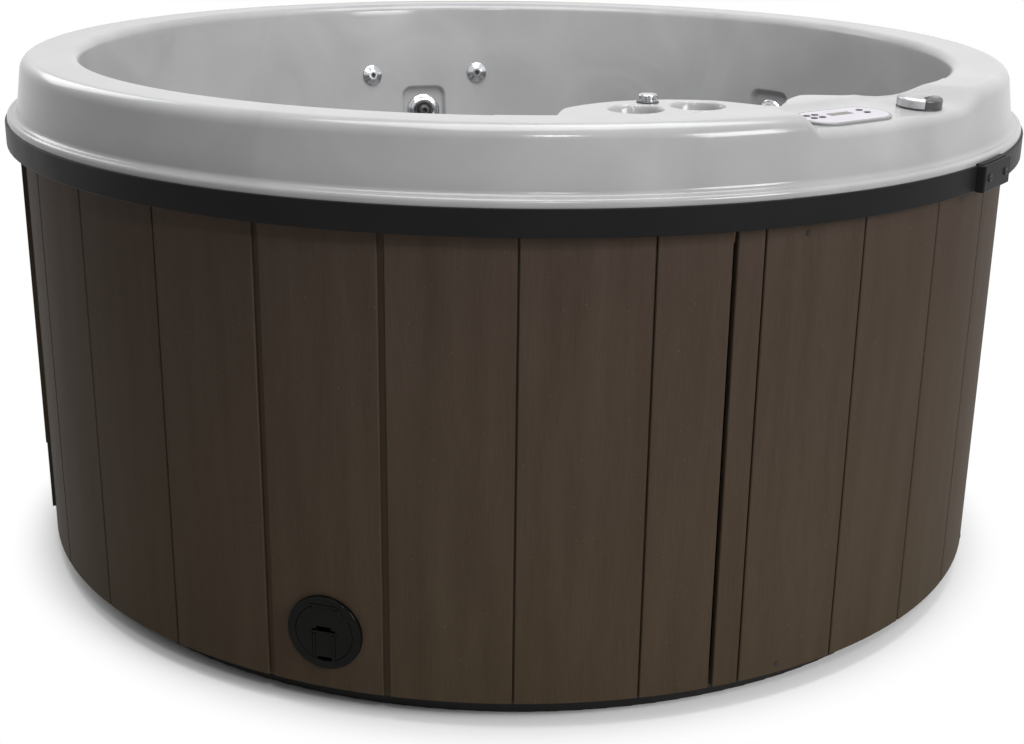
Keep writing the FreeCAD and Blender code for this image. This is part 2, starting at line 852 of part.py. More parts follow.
band_split = degrees_of(fit_gap, band_radius)
band_inner = band_radius - band_thickness
keep("trim_band", turned([
    (band_inner, band_foot), (band_radius, band_foot, band_edge), (band_radius, band_top, band_edge),
    (band_inner, band_top),
], clip_angle + band_split / 2, full_turn - band_split))
clip_middle = (band_foot + band_top) / 2
clip_spot = polar(band_radius, clip_angle, clip_middle)
clip_out = polar(1, clip_angle)
clip_block = prism(oblong(clip_length, clip_height, clip_edge), -2 * clip_depth, clip_depth)
clip_rim = [edge for edge in clip_block.Edges if abs(edge.BoundBox.ZMin - clip_depth) < 1e-6]
clip_block = clip_block.makeFillet(clip_edge, clip_rim)
clip_screws = []
for side in (-0.5, 0.5):
    spot = Vector(side * clip_screw_spread, 0, clip_depth)
    head = turned([
        (0, -clip_screw_head), (clip_screw_radius, -clip_screw_head),
        (clip_screw_radius, clip_screw_head, clip_edge / 2), (0, clip_screw_head),
    ]).translated(spot)
    slot = Part.makeBox(3 * clip_screw_radius, clip_screw_head, clip_screw_head).translated(
        spot + Vector(-1.5 * clip_screw_radius, -clip_screw_head / 2, clip_screw_head / 3))
    clip_screws.append(placed(whole(head.cut(slot)), clip_spot, clip_out))
clip = placed(clip_block, clip_spot, clip_out)
clip = clip.cut(Part.makeCylinder(band_radius, 2 * rim_height))
hook_half = degrees_of(clip_length / 2 - clip_edge, band_radius)
hook_face = band_radius + clip_depth / 2
hook = ring_prism([
    (band_inner, clip_angle - hook_half), (hook_face, clip_angle - hook_half),
    (hook_face, clip_angle + hook_half), (band_inner, clip_angle + hook_half),
], band_top, band_top + clip_hook)
keep("band_clip", whole(clip.fuse(hook).cut(clip_screws)))
keep("band_clip_screws", *clip_screws)

# Control panel in the recess: housing, face, display window and six keys


def on_panel(shape):
    """Sets a piece that is drawn about the panel's centre on the recess floor."""
    return placed(shape, panel_spot, panel_out, panel_way)


bezel = prism(oblong(panel_length, panel_width, panel_width / 2 - fit_gap), -panel_sink, panel_rise)
bezel_rim = [edge for edge in bezel.Edges if abs(edge.BoundBox.ZMin - panel_rise) < 1e-6]
bezel = bezel.makeFillet(panel_edge, bezel_rim)
body_outline = oblong(panel_body_length, panel_body_width, panel_body_corner - fit_gap)
body = prism(body_outline, -panel_body_depth, 0)
body_room = on_panel(prism(body_outline, -panel_body_depth, panel_rise))
face_length = panel_length - 2 * face_border
face_width = panel_width - 2 * face_border
face_corner = face_width / 2 - fit_gap
face_floor = panel_rise - face_thickness
face = prism(oblong(face_length, face_width, face_corner), face_floor, panel_rise)
display = oblong(display_length, display_width, display_corner, display_place)
display = prism(display, face_floor, panel_rise)
key_top = panel_rise + key_proud
wells = []
caps = []
for place in key_places:
    corner = key_width / 2 - fit_gap
    cap = prism(oblong(key_length, key_width, corner, place), key_top - key_height, key_top)
    cap_rim = [edge for edge in cap.Edges if abs(edge.BoundBox.ZMin - key_top) < 1e-6]
    caps.append(cap.makeFillet(key_proud / 2, cap_rim))
    well_floor = key_top - key_height - key_travel - fit_gap
    well = oblong(key_length + 2 * fit_gap, key_width + 2 * fit_gap, corner, place)
    wells.append(prism(well, well_floor, key_top))
face_pocket = prism(oblong(face_length, face_width, face_corner), face_floor, 2 * panel_rise)
housing = on_panel(whole(bezel.fuse(body).cut([face_pocket] + wells)))
keep("control_housing", whole(housing.cut(finished.cut(body_room))))
keep("control_face", on_panel(whole(face.cut([display] + wells))))
keep("control_display", on_panel(display))
for number, cap in enumerate(caps):
    keep("control_key_%d" % (number + 1), on_panel(cap))

# Diverter valve beside the panel

spindle = turned([
    (0, valve_flange), (valve_spindle, valve_flange), (valve_spindle, valve_flange + valve_height / 2),
    (0, valve_flange + valve_height / 2),
])
valve_body = turned([
    (0, -valve_depth), (valve_bore, -valve_depth, valve_edge), (valve_bore, 0), (valve_radius, 0),
    (valve_radius, valve_flange, valve_edge / 5), (0, valve_flange),
])
handle_foot = valve_flange + fit_gap
handle_top = handle_foot + valve_height
handle_bore = valve_spindle + running_gap
handle = turned([
    (handle_bore, handle_foot), (valve_radius, handle_foot), (valve_radius, handle_top, valve_edge),
    (0, handle_top + valve_crown), (0, handle_foot + valve_height / 2),
    (handle_bore, handle_foot + valve_height / 2),
])
grip_half = grip_angle / 2
grip_block = ring_prism([
    (grip_inner, 90 - grip_half), (valve_radius + valve_crown, 90 - grip_half),
    (valve_radius + valve_crown, 90 + grip_half), (grip_inner, 90 + grip_half),
], 0, handle_top + valve_height)
grip = handle.common(grip_block)
scoop_spot = Vector(0.62 * valve_radius, 0, handle_top + 1.05 * valve_radius)
scoop = Part.makeSphere(1.2 * valve_radius).translated(scoop_spot)
for name, solid in (("valve_body", valve_body.fuse(spindle)), ("valve_handle", handle.cut(grip_block)),
                    ("valve_grip", grip.cut(scoop))):
    keep(name, placed(whole(solid), valve_spot, valve_out, polar(-1, valve_rest)))

# Air knob on the deck

knob_seat = turned([
    (0, -knob_depth), (knob_stem, -knob_depth), (knob_stem, 0), (knob_seat_radius, 0),
    (knob_seat_radius, knob_seat_height, knob_edge / 2), (knob_spindle, knob_seat_height),
    (knob_spindle, knob_seat_height + knob_height / 2), (0, knob_seat_height + knob_height / 2),
])
knob_foot = knob_seat_height + fit_gap
knob_bore = knob_spindle + running_gap
knob = turned([
    (knob_bore, knob_foot), (knob_radius, knob_foot), (knob_radius, knob_foot + knob_height, knob_edge),
    (0, knob_foot + knob_height + knob_crown), (0, knob_foot + knob_height / 2),
    (knob_bore, knob_foot + knob_height / 2),
])
flutes = []
for number in range(knob_flutes):
    spot = polar(knob_radius + knob_flute_radius / 2, number * full_turn / knob_flutes)
    flutes.append(Part.makeCylinder(knob_flute_radius, 2 * knob_height, spot))
keep("air_knob_seat", knob_seat.translated(knob_spot))
keep("air_knob", whole(knob.cut(flutes)).translated(knob_spot))

# Jets: fixed bodies through the wall, with the faces, rings and nozzles that turn

flange_radius = small_jet_radius - jet_skirt
spigot_top = small_jet_rise - jet_edge / 4
small_body = turned([
    (small_jet_bore, -jet_depth), (small_jet_barrel, -jet_depth), (small_jet_barrel, -shell_wall),
    (flange_radius, -shell_wall), (flange_radius, jet_flange), (small_jet_spigot, jet_flange),
    (small_jet_spigot, spigot_top, jet_edge / 2), (small_jet_bore, spigot_top),
])
face_bore = small_jet_spigot + running_gap
skirt_foot = jet_edge / 2
small_face = turned([
    (face_bore, jet_flange + fit_gap), (flange_radius + fit_gap, jet_flange + fit_gap),
    (flange_radius + fit_gap, skirt_foot), (small_jet_radius, skirt_foot),
    (small_jet_radius, jet_flange + skirt_foot, jet_edge),
    (small_jet_spigot + small_jet_crown, small_jet_rise, 2 * jet_edge), (face_bore, small_jet_rise),
])
small_bodies = []
for number, angle in enumerate(small_jet_angles):
    spot, out = jet_seat(angle, rim_height - small_jet_drop)
    fitting = placed(small_body, spot, out)
    sleeve = rod(small_jet_barrel, spot - out * jet_depth, spot + out * jet_flange)
    small_bodies.append(whole(fitting.cut(finished.cut(sleeve))))
    keep("small_jet_face_%d" % (number + 1), placed(small_face, spot, out))
keep("small_jet_bodies", *small_bodies)

ball_height = jet_flange
cup_front = ball_height + large_jet_ball / 3
large_flange = large_jet_radius - jet_skirt
cup_radius_of_jet = large_jet_eye - jet_edge
large_body = turned([
    (0, -jet_depth), (large_jet_barrel, -jet_depth), (large_jet_barrel, 0), (large_flange, 0),
    (large_flange, jet_flange), (cup_radius_of_jet, jet_flange),
    (cup_radius_of_jet, cup_front), (0, cup_front),
])
ball_socket = Part.makeSphere(large_jet_ball + fit_gap, Vector(0, 0, ball_height))
supply = Part.makeCylinder(large_jet_bore + jet_edge, jet_depth, Vector(0, 0, -jet_depth))
mouth_spot = Vector(0, 0, ball_height)
mouth = Part.makeCone(large_jet_ball - jet_edge, large_jet_ball + 2 * jet_edge, cup_front, mouth_spot)
large_body = whole(large_body.cut([ball_socket, supply, mouth]))
step = (large_jet_radius - large_jet_eye) / 3
ring_foot = jet_flange + fit_gap
ring = turned([
    (large_jet_eye, ring_foot), (large_flange + fit_gap, ring_foot), (large_flange + fit_gap, skirt_foot),
    (large_jet_radius, skirt_foot), (large_jet_radius, ring_foot + jet_skirt, jet_edge),
    (large_jet_radius - step, large_jet_rise - jet_edge, jet_edge / 2),
    (large_jet_radius - step, large_jet_rise - 2 * jet_edge, jet_edge / 4),
    (large_jet_eye + step, large_jet_rise - jet_skirt, jet_edge / 4),
    (large_jet_eye + step, large_jet_rise, jet_edge / 2), (large_jet_eye, large_jet_rise - jet_flange),
])
nozzle = Part.makeSphere(large_jet_ball, Vector(0, 0, ball_height))
spout_top = large_jet_rise + large_jet_ball / 3
block = Part.makeCylinder(2 * large_jet_ball, 2 * large_jet_ball)
trim_front = block.translated(Vector(0, 0, ball_height + 0.8 * large_jet_ball))
trim_back = block.translated(Vector(0, 0, ball_height - 2.8 * large_jet_ball))
spout = turned([
    (0, ball_height), (0.72 * large_jet_ball, ball_height),
    (0.66 * large_jet_ball, spout_top, jet_edge), (0, spout_top),
])
nozzle = nozzle.cut([trim_front, trim_back]).fuse(spout)
water_way = Part.makeCylinder(large_jet_bore, 4 * large_jet_ball, Vector(0, 0, -2 * large_jet_ball))
nozzle = whole(nozzle.cut(water_way))
large_bodies = []
for number, (angle, drop) in enumerate(zip(large_jet_angles, large_jet_drops)):
    spot, out = jet_seat(angle, rim_height - drop, pocket_depth)
    large_bodies.append(placed(large_body, spot, out))
    keep("large_jet_ring_%d" % (number + 1), placed(ring, spot, out))
    keep("large_jet_nozzle_%d" % (number + 1), placed(nozzle, spot, out))
keep("large_jet_bodies", *large_bodies)

# Suction covers low in the footwell, filter grille in the drum and the cartridge behind it

dome = turned([
    (0, -suction_depth), (suction_barrel, -suction_depth), (suction_barrel, -shell_wall),
    (suction_radius, -shell_wall), (suction_radius, suction_dome / 2, suction_dome / 5),
    (suction_radius / 2, suction_dome, suction_dome / 2), (0, suction_dome),
])
slots = []
for number in range(suction_slots):
    slot_spot = (0.55 * suction_radius, 0)
    slot = oblong(suction_radius / 2, suction_slot_width, 0.45 * suction_slot_width, slot_spot)
    slot = prism(slot, suction_dome / 2, 2 * suction_dome)
    slots.append(slot.rotated(Vector(), up, number * full_turn / suction_slots))
dome = whole(dome.cut(slots))
covers = []
for angle in suction_angles:
    spot = polar(footwell_wall(suction_height), angle, suction_height)
    out = polar(-1, angle)
    sleeve = rod(suction_barrel, spot - out * suction_depth, spot + out * suction_dome)
    covers.append(whole(placed(dome, spot, out).cut(finished.cut(sleeve))))
keep("suction_covers", *covers)

grille_half = grille_angle / 2
grille_back = deck_radius - shell_wall / 2
grille_face = deck_radius + grille_thickness
grille = ring_prism([
    (grille_back, 180 - grille_half), (grille_face, 180 - grille_half),
    (grille_face, 180 + grille_half), (grille_back, 180 + grille_half),
], grille_foot, grille_top)
pitch = (grille_height - 2 * grille_border) / grille_slots
grille_cuts = []
for number in range(grille_slots):
    foot = grille_foot + grille_border + number * pitch + pitch / 4
    grille_cuts.append(ring_prism([
        (grille_back - shell_wall, 180 - window), (grille_face + shell_wall, 180 - window),
        (grille_face + shell_wall, 180 + window), (grille_back - shell_wall, 180 + window),
    ], foot, foot + pitch / 2))
grille = grille.cut(grille_cuts).rotated(Vector(), up, deck_angle)
keep("filter_grille", whole(grille.translated(polar(deck_axis, deck_angle)).cut(finished)))
pleat_depth = cartridge_radius / 5
pleats = []
for number in range(cartridge_pleats):
    for radius, share in ((cartridge_radius, 0.0), (cartridge_radius - pleat_depth, 0.5)):
        angle = (number + share) * full_turn / cartridge_pleats
        pleats.append(polar(radius, angle, cartridge_cap - cartridge_length))
media = Part.Face(Part.makePolygon(pleats + pleats[:1]))
media = media.extrude(Vector(0, 0, cartridge_length - 2 * cartridge_cap))
caps_of_cartridge = [
    Part.makeCylinder(1.05 * cartridge_radius, cartridge_cap, Vector(0, 0, -cartridge_cap)),
    Part.makeCylinder(1.05 * cartridge_radius, cartridge_cap, Vector(0, 0, -cartridge_length)),
]
keep("filter_cartridge", whole(media.fuse(caps_of_cartridge)).translated(cartridge_spot))

# Pump on its saddle, equipment pack with the heater, and the pipes between them

footwell_back = bench_inner + shell_wall
pump_reach = footwell_back + pump_gap + volute_radius
pump_spot = polar(pump_reach, pump_angle, base_floor)
pump_way = polar(-1, pump_angle)
motor = turned([
    (0, 0), (0.8 * motor_radius, 0), (motor_radius, motor_nose), (motor_radius, motor_length - fan_cover),
    (0.85 * motor_radius, motor_length - fan_cover), (0.85 * motor_radius, motor_length, fin_width),
    (0, motor_length),
])
fins = []
fin_start = 2 * motor_nose
fin_pitch = (motor_length - fan_cover - fin_start) / fin_count
fin_root = motor_radius - fin_depth
for number in range(fin_count):
    foot = fin_start + number * fin_pitch
    fins.append(turned([
        (fin_root, foot), (2 * motor_radius, foot),
        (2 * motor_radius, foot + fin_width), (fin_root, foot + fin_width),
    ]))
motor = motor.cut(fins)
saddle = Part.makeBox(saddle_length, saddle_width, pump_axis)
saddle = saddle.translated(Vector(motor_length / 2 - saddle_length / 2, -saddle_width / 2, 0))
motor_room = rod(motor_radius, Vector(-motor_length, 0, pump_axis), Vector(2 * motor_length, 0, pump_axis))
saddle = saddle.cut(motor_room)
saddle = max(saddle.Solids, key=lambda solid: solid.Volume)
motor = placed(motor, Vector(0, 0, pump_axis), Vector(1, 0, 0))
volute = placed(turned([
    (0, -volute_length), (0.6 * volute_radius, -volute_length, fin_depth),
    (volute_radius, -0.3 * volute_length, motor_nose), (volute_radius, 0), (0, 0),
]), Vector(0, 0, pump_axis), Vector(1, 0, 0))
inlet_end = -volute_length - port_length
inlet = rod(port_radius, Vector(inlet_end, 0, pump_axis), Vector(-volute_length / 2, 0, pump_axis))
outlet_top = pump_axis + volute_radius + port_length
outlet_axis = -volute_length / 2
outlet = rod(port_radius, Vector(outlet_axis, 0, pump_axis), Vector(outlet_axis, 0, outlet_top))
wet_end = whole(volute.fuse([inlet, outlet]))


def by_pump(shape):
    """Sets a piece that is drawn about the pump's foot on the base."""
    return placed(shape, pump_spot, up, pump_way)


keep("pump_motor", by_pump(whole(motor.fuse(saddle))))
keep("pump_wet_end", by_pump(wet_end))

heater_half = heater_length / 2
pack_reach = footwell_back + pack_gap + pack_depth / 2
pack_room = heater_half + 1.4 * pipe_bend + pipe_radius
pack_angle = pump_angle + math.degrees(math.atan2(motor_length, pump_reach)
                                       + math.atan2(pack_room, pack_reach) + equipment_gap / pump_reach)
pack_spot = polar(pack_reach, pack_angle, base_floor)
pack_way = polar(-1, pack_angle)
pack_foot = heater_axis + heater_radius
case = prism(oblong(pack_length, pack_depth, pack_corner), pack_foot, pack_foot + pack_height)
heater_bar = rod(heater_radius, Vector(-heater_half, 0, heater_axis), Vector(heater_half, 0, heater_axis))
legs = []
for side in (-1, 1):
    edge = side * (pack_length / 2 - 2 * pack_leg) - pack_leg / 2
    leg = Part.makeBox(pack_leg, pack_depth - 2 * pack_corner, pack_foot)
    legs.append(leg.translated(Vector(edge, pack_corner - pack_depth / 2, 0)))
pack = whole(case.fuse(legs).cut(heater_bar))
keep("equipment_pack", placed(pack, pack_spot, up, pack_way))
keep("heater", placed(heater_bar, pack_spot, up, pack_way))


def pump_point(x, y, z):
    """Point given along, inward of and above the pump's foot."""
    return pump_spot + pump_way.cross(up) * x + pump_way * y + up * z


def pack_point(x, z):
    """Point given along and above the equipment pack's foot."""
    return pack_spot + pack_way.cross(up) * x + up * z


suction_end = polar(footwell_wall(suction_height) + suction_depth, suction_angles[0], suction_height)
suction_turn = suction_end + polar(2 * pipe_bend, suction_angles[0])
suction_pipe = piped([
    suction_end, suction_turn, pump_point(inlet_end - 2.2 * pipe_bend, 0, pump_axis),
    pump_point(inlet_end, 0, pump_axis),
], pipe_radius, pipe_bend)
heater_in = pack_point(-heater_half, heater_axis)
heater_drop = pack_point(-heater_half - 1.4 * pipe_bend, heater_axis)
discharge_height = outlet_top + 1.4 * pipe_bend
discharge_pipe = piped([
    pump_point(outlet_axis, 0, outlet_top), pump_point(outlet_axis, 0, discharge_height),
    Vector(heater_drop.x, heater_drop.y, base_floor + discharge_height), heater_drop, heater_in,
], pipe_radius, pipe_bend)
lowest_jet = rim_height - max(large_jet_drops) - large_jet_barrel
ring_main_height = lowest_jet - ring_main_clear - ring_main_radius
ring_reach = wall_radius(ring_main_height) + shell_wall + ring_main_gap + ring_main_radius
ring_main = Part.makeTorus(ring_reach, ring_main_radius, Vector(0, 0, ring_main_height))
riser_turn = pack_point(heater_half + 1.6 * pipe_bend, heater_axis)
riser_angle = math.degrees(math.atan2(riser_turn.x, -riser_turn.y)) + 4.0
riser = piped([
    pack_point(heater_half, heater_axis), riser_turn,
    polar(ring_reach, riser_angle, base_floor + heater_axis),
    polar(ring_reach, riser_angle, ring_main_height),
], 0.8 * pipe_radius, 0.7 * pipe_bend)
keep("water_pipes", suction_pipe, discharge_pipe, whole(riser.cut(ring_main)))
hoses = []
jets = [(angle, small_jet_drop, small_jet_barrel) for angle in small_jet_angles]
jets += [(angle, drop, large_jet_barrel) for angle, drop in zip(large_jet_angles, large_jet_drops)]
for angle, drop, barrel in jets:
    top = rim_height - drop - barrel / 2
    hose = rod(hose_radius, polar(ring_reach, angle, ring_main_height), polar(ring_reach, angle, top))
    hoses.append(whole(hose.cut(small_bodies + large_bodies)))
keep("ring_main", whole(ring_main.fuse(hoses)))

# Cord hatch low in the front: bezel through the board, hinged lid and a hinged flap in the lid


def on_hatch(shape):
    """Sets a piece that is drawn about the hatch's centre on the board, facing out."""
    return placed(shape, hatch_spot, hatch_out)


collar_radius = hatch_opening + collar_wall
flange = turned([
    (hatch_opening, -board_thickness), (hatch_radius, -board_thickness),
    (hatch_radius, hatch_rise, hatch_edge), (hatch_opening, hatch_rise, lid_crown),
])
collar = turned([
    (hatch_opening, -collar_depth), (collar_radius, -collar_depth),
    (collar_radius, lid_crown), (hatch_opening, lid_crown),
])
lid_back = hatch_rise - lid_thickness
hinge_level = hatch_rise - hinge_drop
barrel_gap = hinge_barrel + lid_gap
barrel_room = Part.makeBox(hinge_length + 2 * lid_gap, 2 * barrel_gap + hinge_ear, 4 * hinge_barrel)
barrel_room = barrel_room.translated(
    Vector(-hinge_length / 2 - lid_gap, hinge_offset - barrel_gap - hinge_ear, hinge_level - barrel_gap))
pin_reach = hinge_length / 2 + hinge_ear
pin_start = Vector(-pin_reach, hinge_offset, hinge_level)
pin_end = Vector(pin_reach, hinge_offset, hinge_level)
lid_pin = rod(hinge_pin, pin_start, pin_end)
ears = [
    rod(hinge_barrel, Vector(side * (hinge_length / 2 + lid_gap), hinge_offset, hinge_level),
        Vector(side * pin_reach, hinge_offset, hinge_level)) for side in (-1, 1)
]
cabinet_face = Part.makeCylinder(cabinet_radius, 2 * hatch_radius, Vector(0, 0, -hatch_radius))
cabinet_face = placed(cabinet_face, Vector(0, 0, -cabinet_radius), Vector(0, -1, 0), up)
bezel_local = flange.cut(cabinet_face).fuse([collar] + ears).cut([barrel_room, lid_pin])
head_foot = hatch_rise - 2 * hatch_screw_head
head_top = hatch_rise + hatch_screw_head
screw_heads = []
for spot in hatch_screw_spots:
    head = turned([
        (0, head_foot), (hatch_screw_radius, head_foot),
        (hatch_screw_radius, head_top, 0.9 * hatch_screw_head), (0, head_top),
    ]).translated(spot)
    shank_length = hatch_rise + board_thickness
    shank = Part.makeCylinder(hatch_screw_shank, shank_length, spot - up * board_thickness)
    screw_heads.append(whole(head.fuse(shank)))
bezel_local = max(bezel_local.cut(screw_heads).Solids, key=lambda solid: solid.Volume)
keep("hatch_bezel", on_hatch(bezel_local))
keep("hatch_screws", *[on_hatch(solid) for solid in screw_heads])

lid_radius = hatch_opening - lid_gap
lid = turned([
    (0, lid_back), (lid_radius, lid_back), (lid_radius, hatch_rise, lid_edge), (0, hatch_rise + lid_crown),
])
lid_top = hinge_offset - barrel_gap - lid_crown
lid = lid.cut(Part.makeBox(4 * lid_radius, lid_radius, 8 * lid_thickness).translated(
    Vector(-2 * lid_radius, lid_top, -4 * lid_thickness)))
lid_barrel = rod(hinge_barrel, Vector(-hinge_length / 2, hinge_offset, hinge_level),
                 Vector(hinge_length / 2, hinge_offset, hinge_level))
tab_thickness = lid_thickness - lid_edge
lid_tab = Part.makeBox(hinge_length, hinge_offset - lid_top + lid_thickness, tab_thickness).translated(
    Vector(-hinge_length / 2, lid_top - lid_thickness, hatch_rise - tab_thickness))
flap_hinge = flap_top - hinge_barrel
room_top = flap_top + hinge_barrel
room_foot = -flap_foot - lid_gap
room_middle = (0, (room_top + room_foot) / 2)
flap_room = oblong(flap_width + 2 * lid_gap, room_top - room_foot, lid_edge, room_middle)
flap_room = prism(flap_room, 0, 3 * hatch_rise)
finger_notch = oblong(notch_width, notch_height, notch_height / 4, (0, room_top + lid_crown))
finger_notch = prism(finger_notch, 0, 3 * hatch_rise)
cord_slot = oblong(notch_width, 2 * (lid_radius - flap_foot), notch_height / 4, (0, -lid_radius))
cord_slot = prism(cord_slot, 0, 3 * hatch_rise)
flap_pin_radius = 0.75 * hinge_pin
flap_pin_reach = flap_width / 2 + lid_thickness
flap_pin = rod(flap_pin_radius, Vector(-flap_pin_reach, flap_hinge, hinge_level),
               Vector(flap_pin_reach, flap_hinge, hinge_level))
pin_bore = rod(hinge_pin + running_gap, Vector(-hinge_length, hinge_offset, hinge_level),
               Vector(hinge_length, hinge_offset, hinge_level))
cheeks = [
    rod(hinge_barrel, Vector(side * (flap_width / 2 + lid_gap), flap_hinge, hinge_level),
        Vector(side * flap_pin_reach, flap_hinge, hinge_level)) for side in (-1, 1)
]
lid = lid.fuse([lid_tab, lid_barrel]).cut([flap_room, finger_notch, cord_slot, pin_bore])
lid = whole(lid.fuse(cheeks).cut(flap_pin))
keep("hatch_lid", on_hatch(lid))

flap_plate = oblong(flap_width, flap_foot + flap_hinge, lid_edge, (0, (flap_hinge - flap_foot) / 2))
flap_plate = prism(flap_plate, hatch_rise - flap_thickness, hatch_rise)
flap_barrel = rod(0.8 * hinge_barrel, Vector(-flap_width / 2, flap_hinge, hinge_level),
                  Vector(flap_width / 2, flap_hinge, hinge_level))
rail_side = flap_width / 2 - flap_rail - lid_gap
rails = [
    rod(flap_rail, Vector(side * rail_side, lid_crown - flap_foot, hatch_rise),
        Vector(side * rail_side, flap_hinge - hinge_barrel, hatch_rise)) for side in (-1, 1)
]
flap_bore = rod(flap_pin_radius + running_gap, Vector(-flap_width, flap_hinge, hinge_level),
                Vector(flap_width, flap_hinge, hinge_level))
flap = whole(flap_plate.fuse([flap_barrel] + rails).cut(flap_bore))
keep("hatch_flap", on_hatch(flap))
keep("hatch_lid_pin", on_hatch(lid_pin))
keep("hatch_flap_pin", on_hatch(flap_pin))

os.makedirs("parts", exist_ok=True)
for name, shape in parts.items():
    shape.exportStep("parts/%s.step" % name)
print(len(parts), "nodes")
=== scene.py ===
import math

import bmesh
import bpy
import numpy as np
from mathutils import Matrix, Vector


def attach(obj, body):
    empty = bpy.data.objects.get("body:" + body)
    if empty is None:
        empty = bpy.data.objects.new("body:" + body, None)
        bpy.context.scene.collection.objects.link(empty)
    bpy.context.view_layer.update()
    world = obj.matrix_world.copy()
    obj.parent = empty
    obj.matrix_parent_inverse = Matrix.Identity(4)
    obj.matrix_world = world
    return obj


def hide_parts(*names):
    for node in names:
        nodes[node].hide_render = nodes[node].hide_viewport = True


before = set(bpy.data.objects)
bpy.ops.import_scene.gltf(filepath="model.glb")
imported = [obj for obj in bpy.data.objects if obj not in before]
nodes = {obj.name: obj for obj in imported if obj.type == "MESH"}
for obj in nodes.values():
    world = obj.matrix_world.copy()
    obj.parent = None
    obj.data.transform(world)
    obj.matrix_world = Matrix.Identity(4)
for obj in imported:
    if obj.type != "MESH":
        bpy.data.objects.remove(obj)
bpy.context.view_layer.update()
scene = bpy.context.scene
scene.view_settings.view_transform = "Standard"

# Base pan: a shallow tray of black plastic that the whole tub stands on, vacuum-formed in one piece
# with a raised lip. Its rim shows as a dark strip under the front boards.
noise_low, noise_high = 0.3, 0.7
weld_reach, sharp_edge = 0.00001, math.radians(30)


def shader(tree, kind, inputs=None, **settings):
    """A shader node with its settings. Inputs are constants, or outputs that are linked in."""
    made = tree.nodes.new("ShaderNode" + kind)
    for key, value in settings.items():
        setattr(made, key, value)
    for key, value in (inputs or {}).items():
        if isinstance(value, bpy.types.NodeSocket):
            tree.links.new(value, made.inputs[key])
        else:
            made.inputs[key].default_value = value
    return made


def ramp(tree, share, *stops):
    """Colour along a share: each stop is a place from 0 to 1 and a colour."""
    made = shader(tree, "ValToRGB", {"Fac": share})
    for place, _ in stops[2:]:
        made.color_ramp.elements.new(place)
    for element, (place, colour) in zip(made.color_ramp.elements, sorted(stops)):
        element.position = place
        element.color = (*colour, 1)
    return made.outputs["Color"]


def spread(tree, share, low, high):
    """A value that runs from low to high across the range that a noise mostly fills."""
    made = shader(tree, "MapRange", {
        "Value": share, "From Min": noise_low, "From Max": noise_high, "To Min": low, "To Max": high})
    return made.outputs["Result"]


def finish(name, sockets=None):
    """A new material, its node tree and its main shader, with constants set on its sockets."""
    made = bpy.data.materials.new(name)
    made.use_nodes = True
    main = made.node_tree.nodes["Principled BSDF"]
    for key, value in (sockets or {}).items():
        main.inputs[key].default_value = value
    return made, made.node_tree, main


def effect(name, *outputs):
    """A node group for an effect that several materials share, with its output node."""
    made = bpy.data.node_groups.new(name, "ShaderNodeTree")
    for output in outputs:
        made.interface.new_socket(output, in_out="OUTPUT", socket_type="NodeSocketFloat")
    return made, made.nodes.new("NodeGroupOutput")


mould, mould_end = effect("mould_texture", "Cloud", "Pebble")
spot = shader(mould, "TexCoord").outputs["Object"]
cloud = shader(mould, "TexNoise", {"Vector": spot, "Scale": 7.0, "Detail": 4.0, "Roughness": 0.6})
pebble = shader(mould, "TexNoise", {"Vector": spot, "Scale": 1100.0, "Detail": 2.0})
mould.links.new(cloud.outputs["Fac"], mould_end.inputs["Cloud"])
mould.links.new(pebble.outputs["Fac"], mould_end.inputs["Pebble"])


def plastic(name, dark, light, smooth, rough, relief, sockets=None):
    """Moulded plastic: clouds of two close shades and of two roughnesses, over a pebbled skin."""
    made, tree, main = finish(name, sockets)
    skin = shader(tree, "Group", node_tree=mould)
    tone = ramp(tree, skin.outputs["Cloud"], (noise_low, dark), (noise_high, light))
    tree.links.new(tone, main.inputs["Base Color"])
    tree.links.new(spread(tree, skin.outputs["Cloud"], smooth, rough), main.inputs["Roughness"])
    bump = shader(tree, "Bump", {
        "Height": skin.outputs["Pebble"], "Strength": relief, "Distance": 0.0003})
    tree.links.new(bump.outputs["Normal"], main.inputs["Normal"])
    return made


def dressed(material, *names):
    """Gives pieces a material, and smooth faces that break at the sharp edges."""
    for name in names:
        piece = nodes[name]
        piece.data.materials.clear()
        piece.data.materials.append(material)
        piece.data.shade_smooth()
        weld = piece.modifiers.new("weld", "WELD")
        weld.merge_threshold = weld_reach
        split = piece.modifiers.new("edges", "EDGE_SPLIT")
        split.split_angle = sharp_edge
        piece.modifiers.new("normals", "WEIGHTED_NORMAL")


black_plastic = plastic(
    "black_plastic", (0.008, 0.008, 0.008), (0.016, 0.015, 0.014), 0.45, 0.6, 0.3,
    {"Specular IOR Level": 0.2})
dressed(black_plastic, "base_pan")

# Timber frame: two curved rings, posts between them and a round block under the footwell, of
# planed softwood, screwed together on the base pan. The rings are laminated to the curve. The lower
# ring is coloured almost black as painted shade, where it shows through the gaps under the boards.
grain_group, grain_end = effect("timber_grain", "Grain")
spot = shader(grain_group, "TexCoord").outputs["Object"]
drawn = shader(grain_group, "Mapping", {
    "Vector": spot, "Scale": (1.0, 1.0, 0.14)}).outputs["Vector"]
waver = shader(grain_group, "TexNoise", {"Vector": drawn, "Scale": 9.0, "Detail": 3.0})
rings = shader(grain_group, "TexWave", {
    "Vector": drawn, "Scale": 16.0, "Distortion": 7.0, "Detail": 3.0, "Detail Scale": 1.4},
    wave_type="RINGS")
fibre = shader(grain_group, "TexNoise", {"Vector": drawn, "Scale": 420.0, "Detail": 3.0})
figure = shader(grain_group, "Mix", {
    "Factor": 0.35, "A": rings.outputs["Fac"], "B": waver.outputs["Fac"]})
grained = shader(grain_group, "Mix", {
    "Factor": 0.3, "A": figure.outputs["Result"], "B": fibre.outputs["Fac"]})
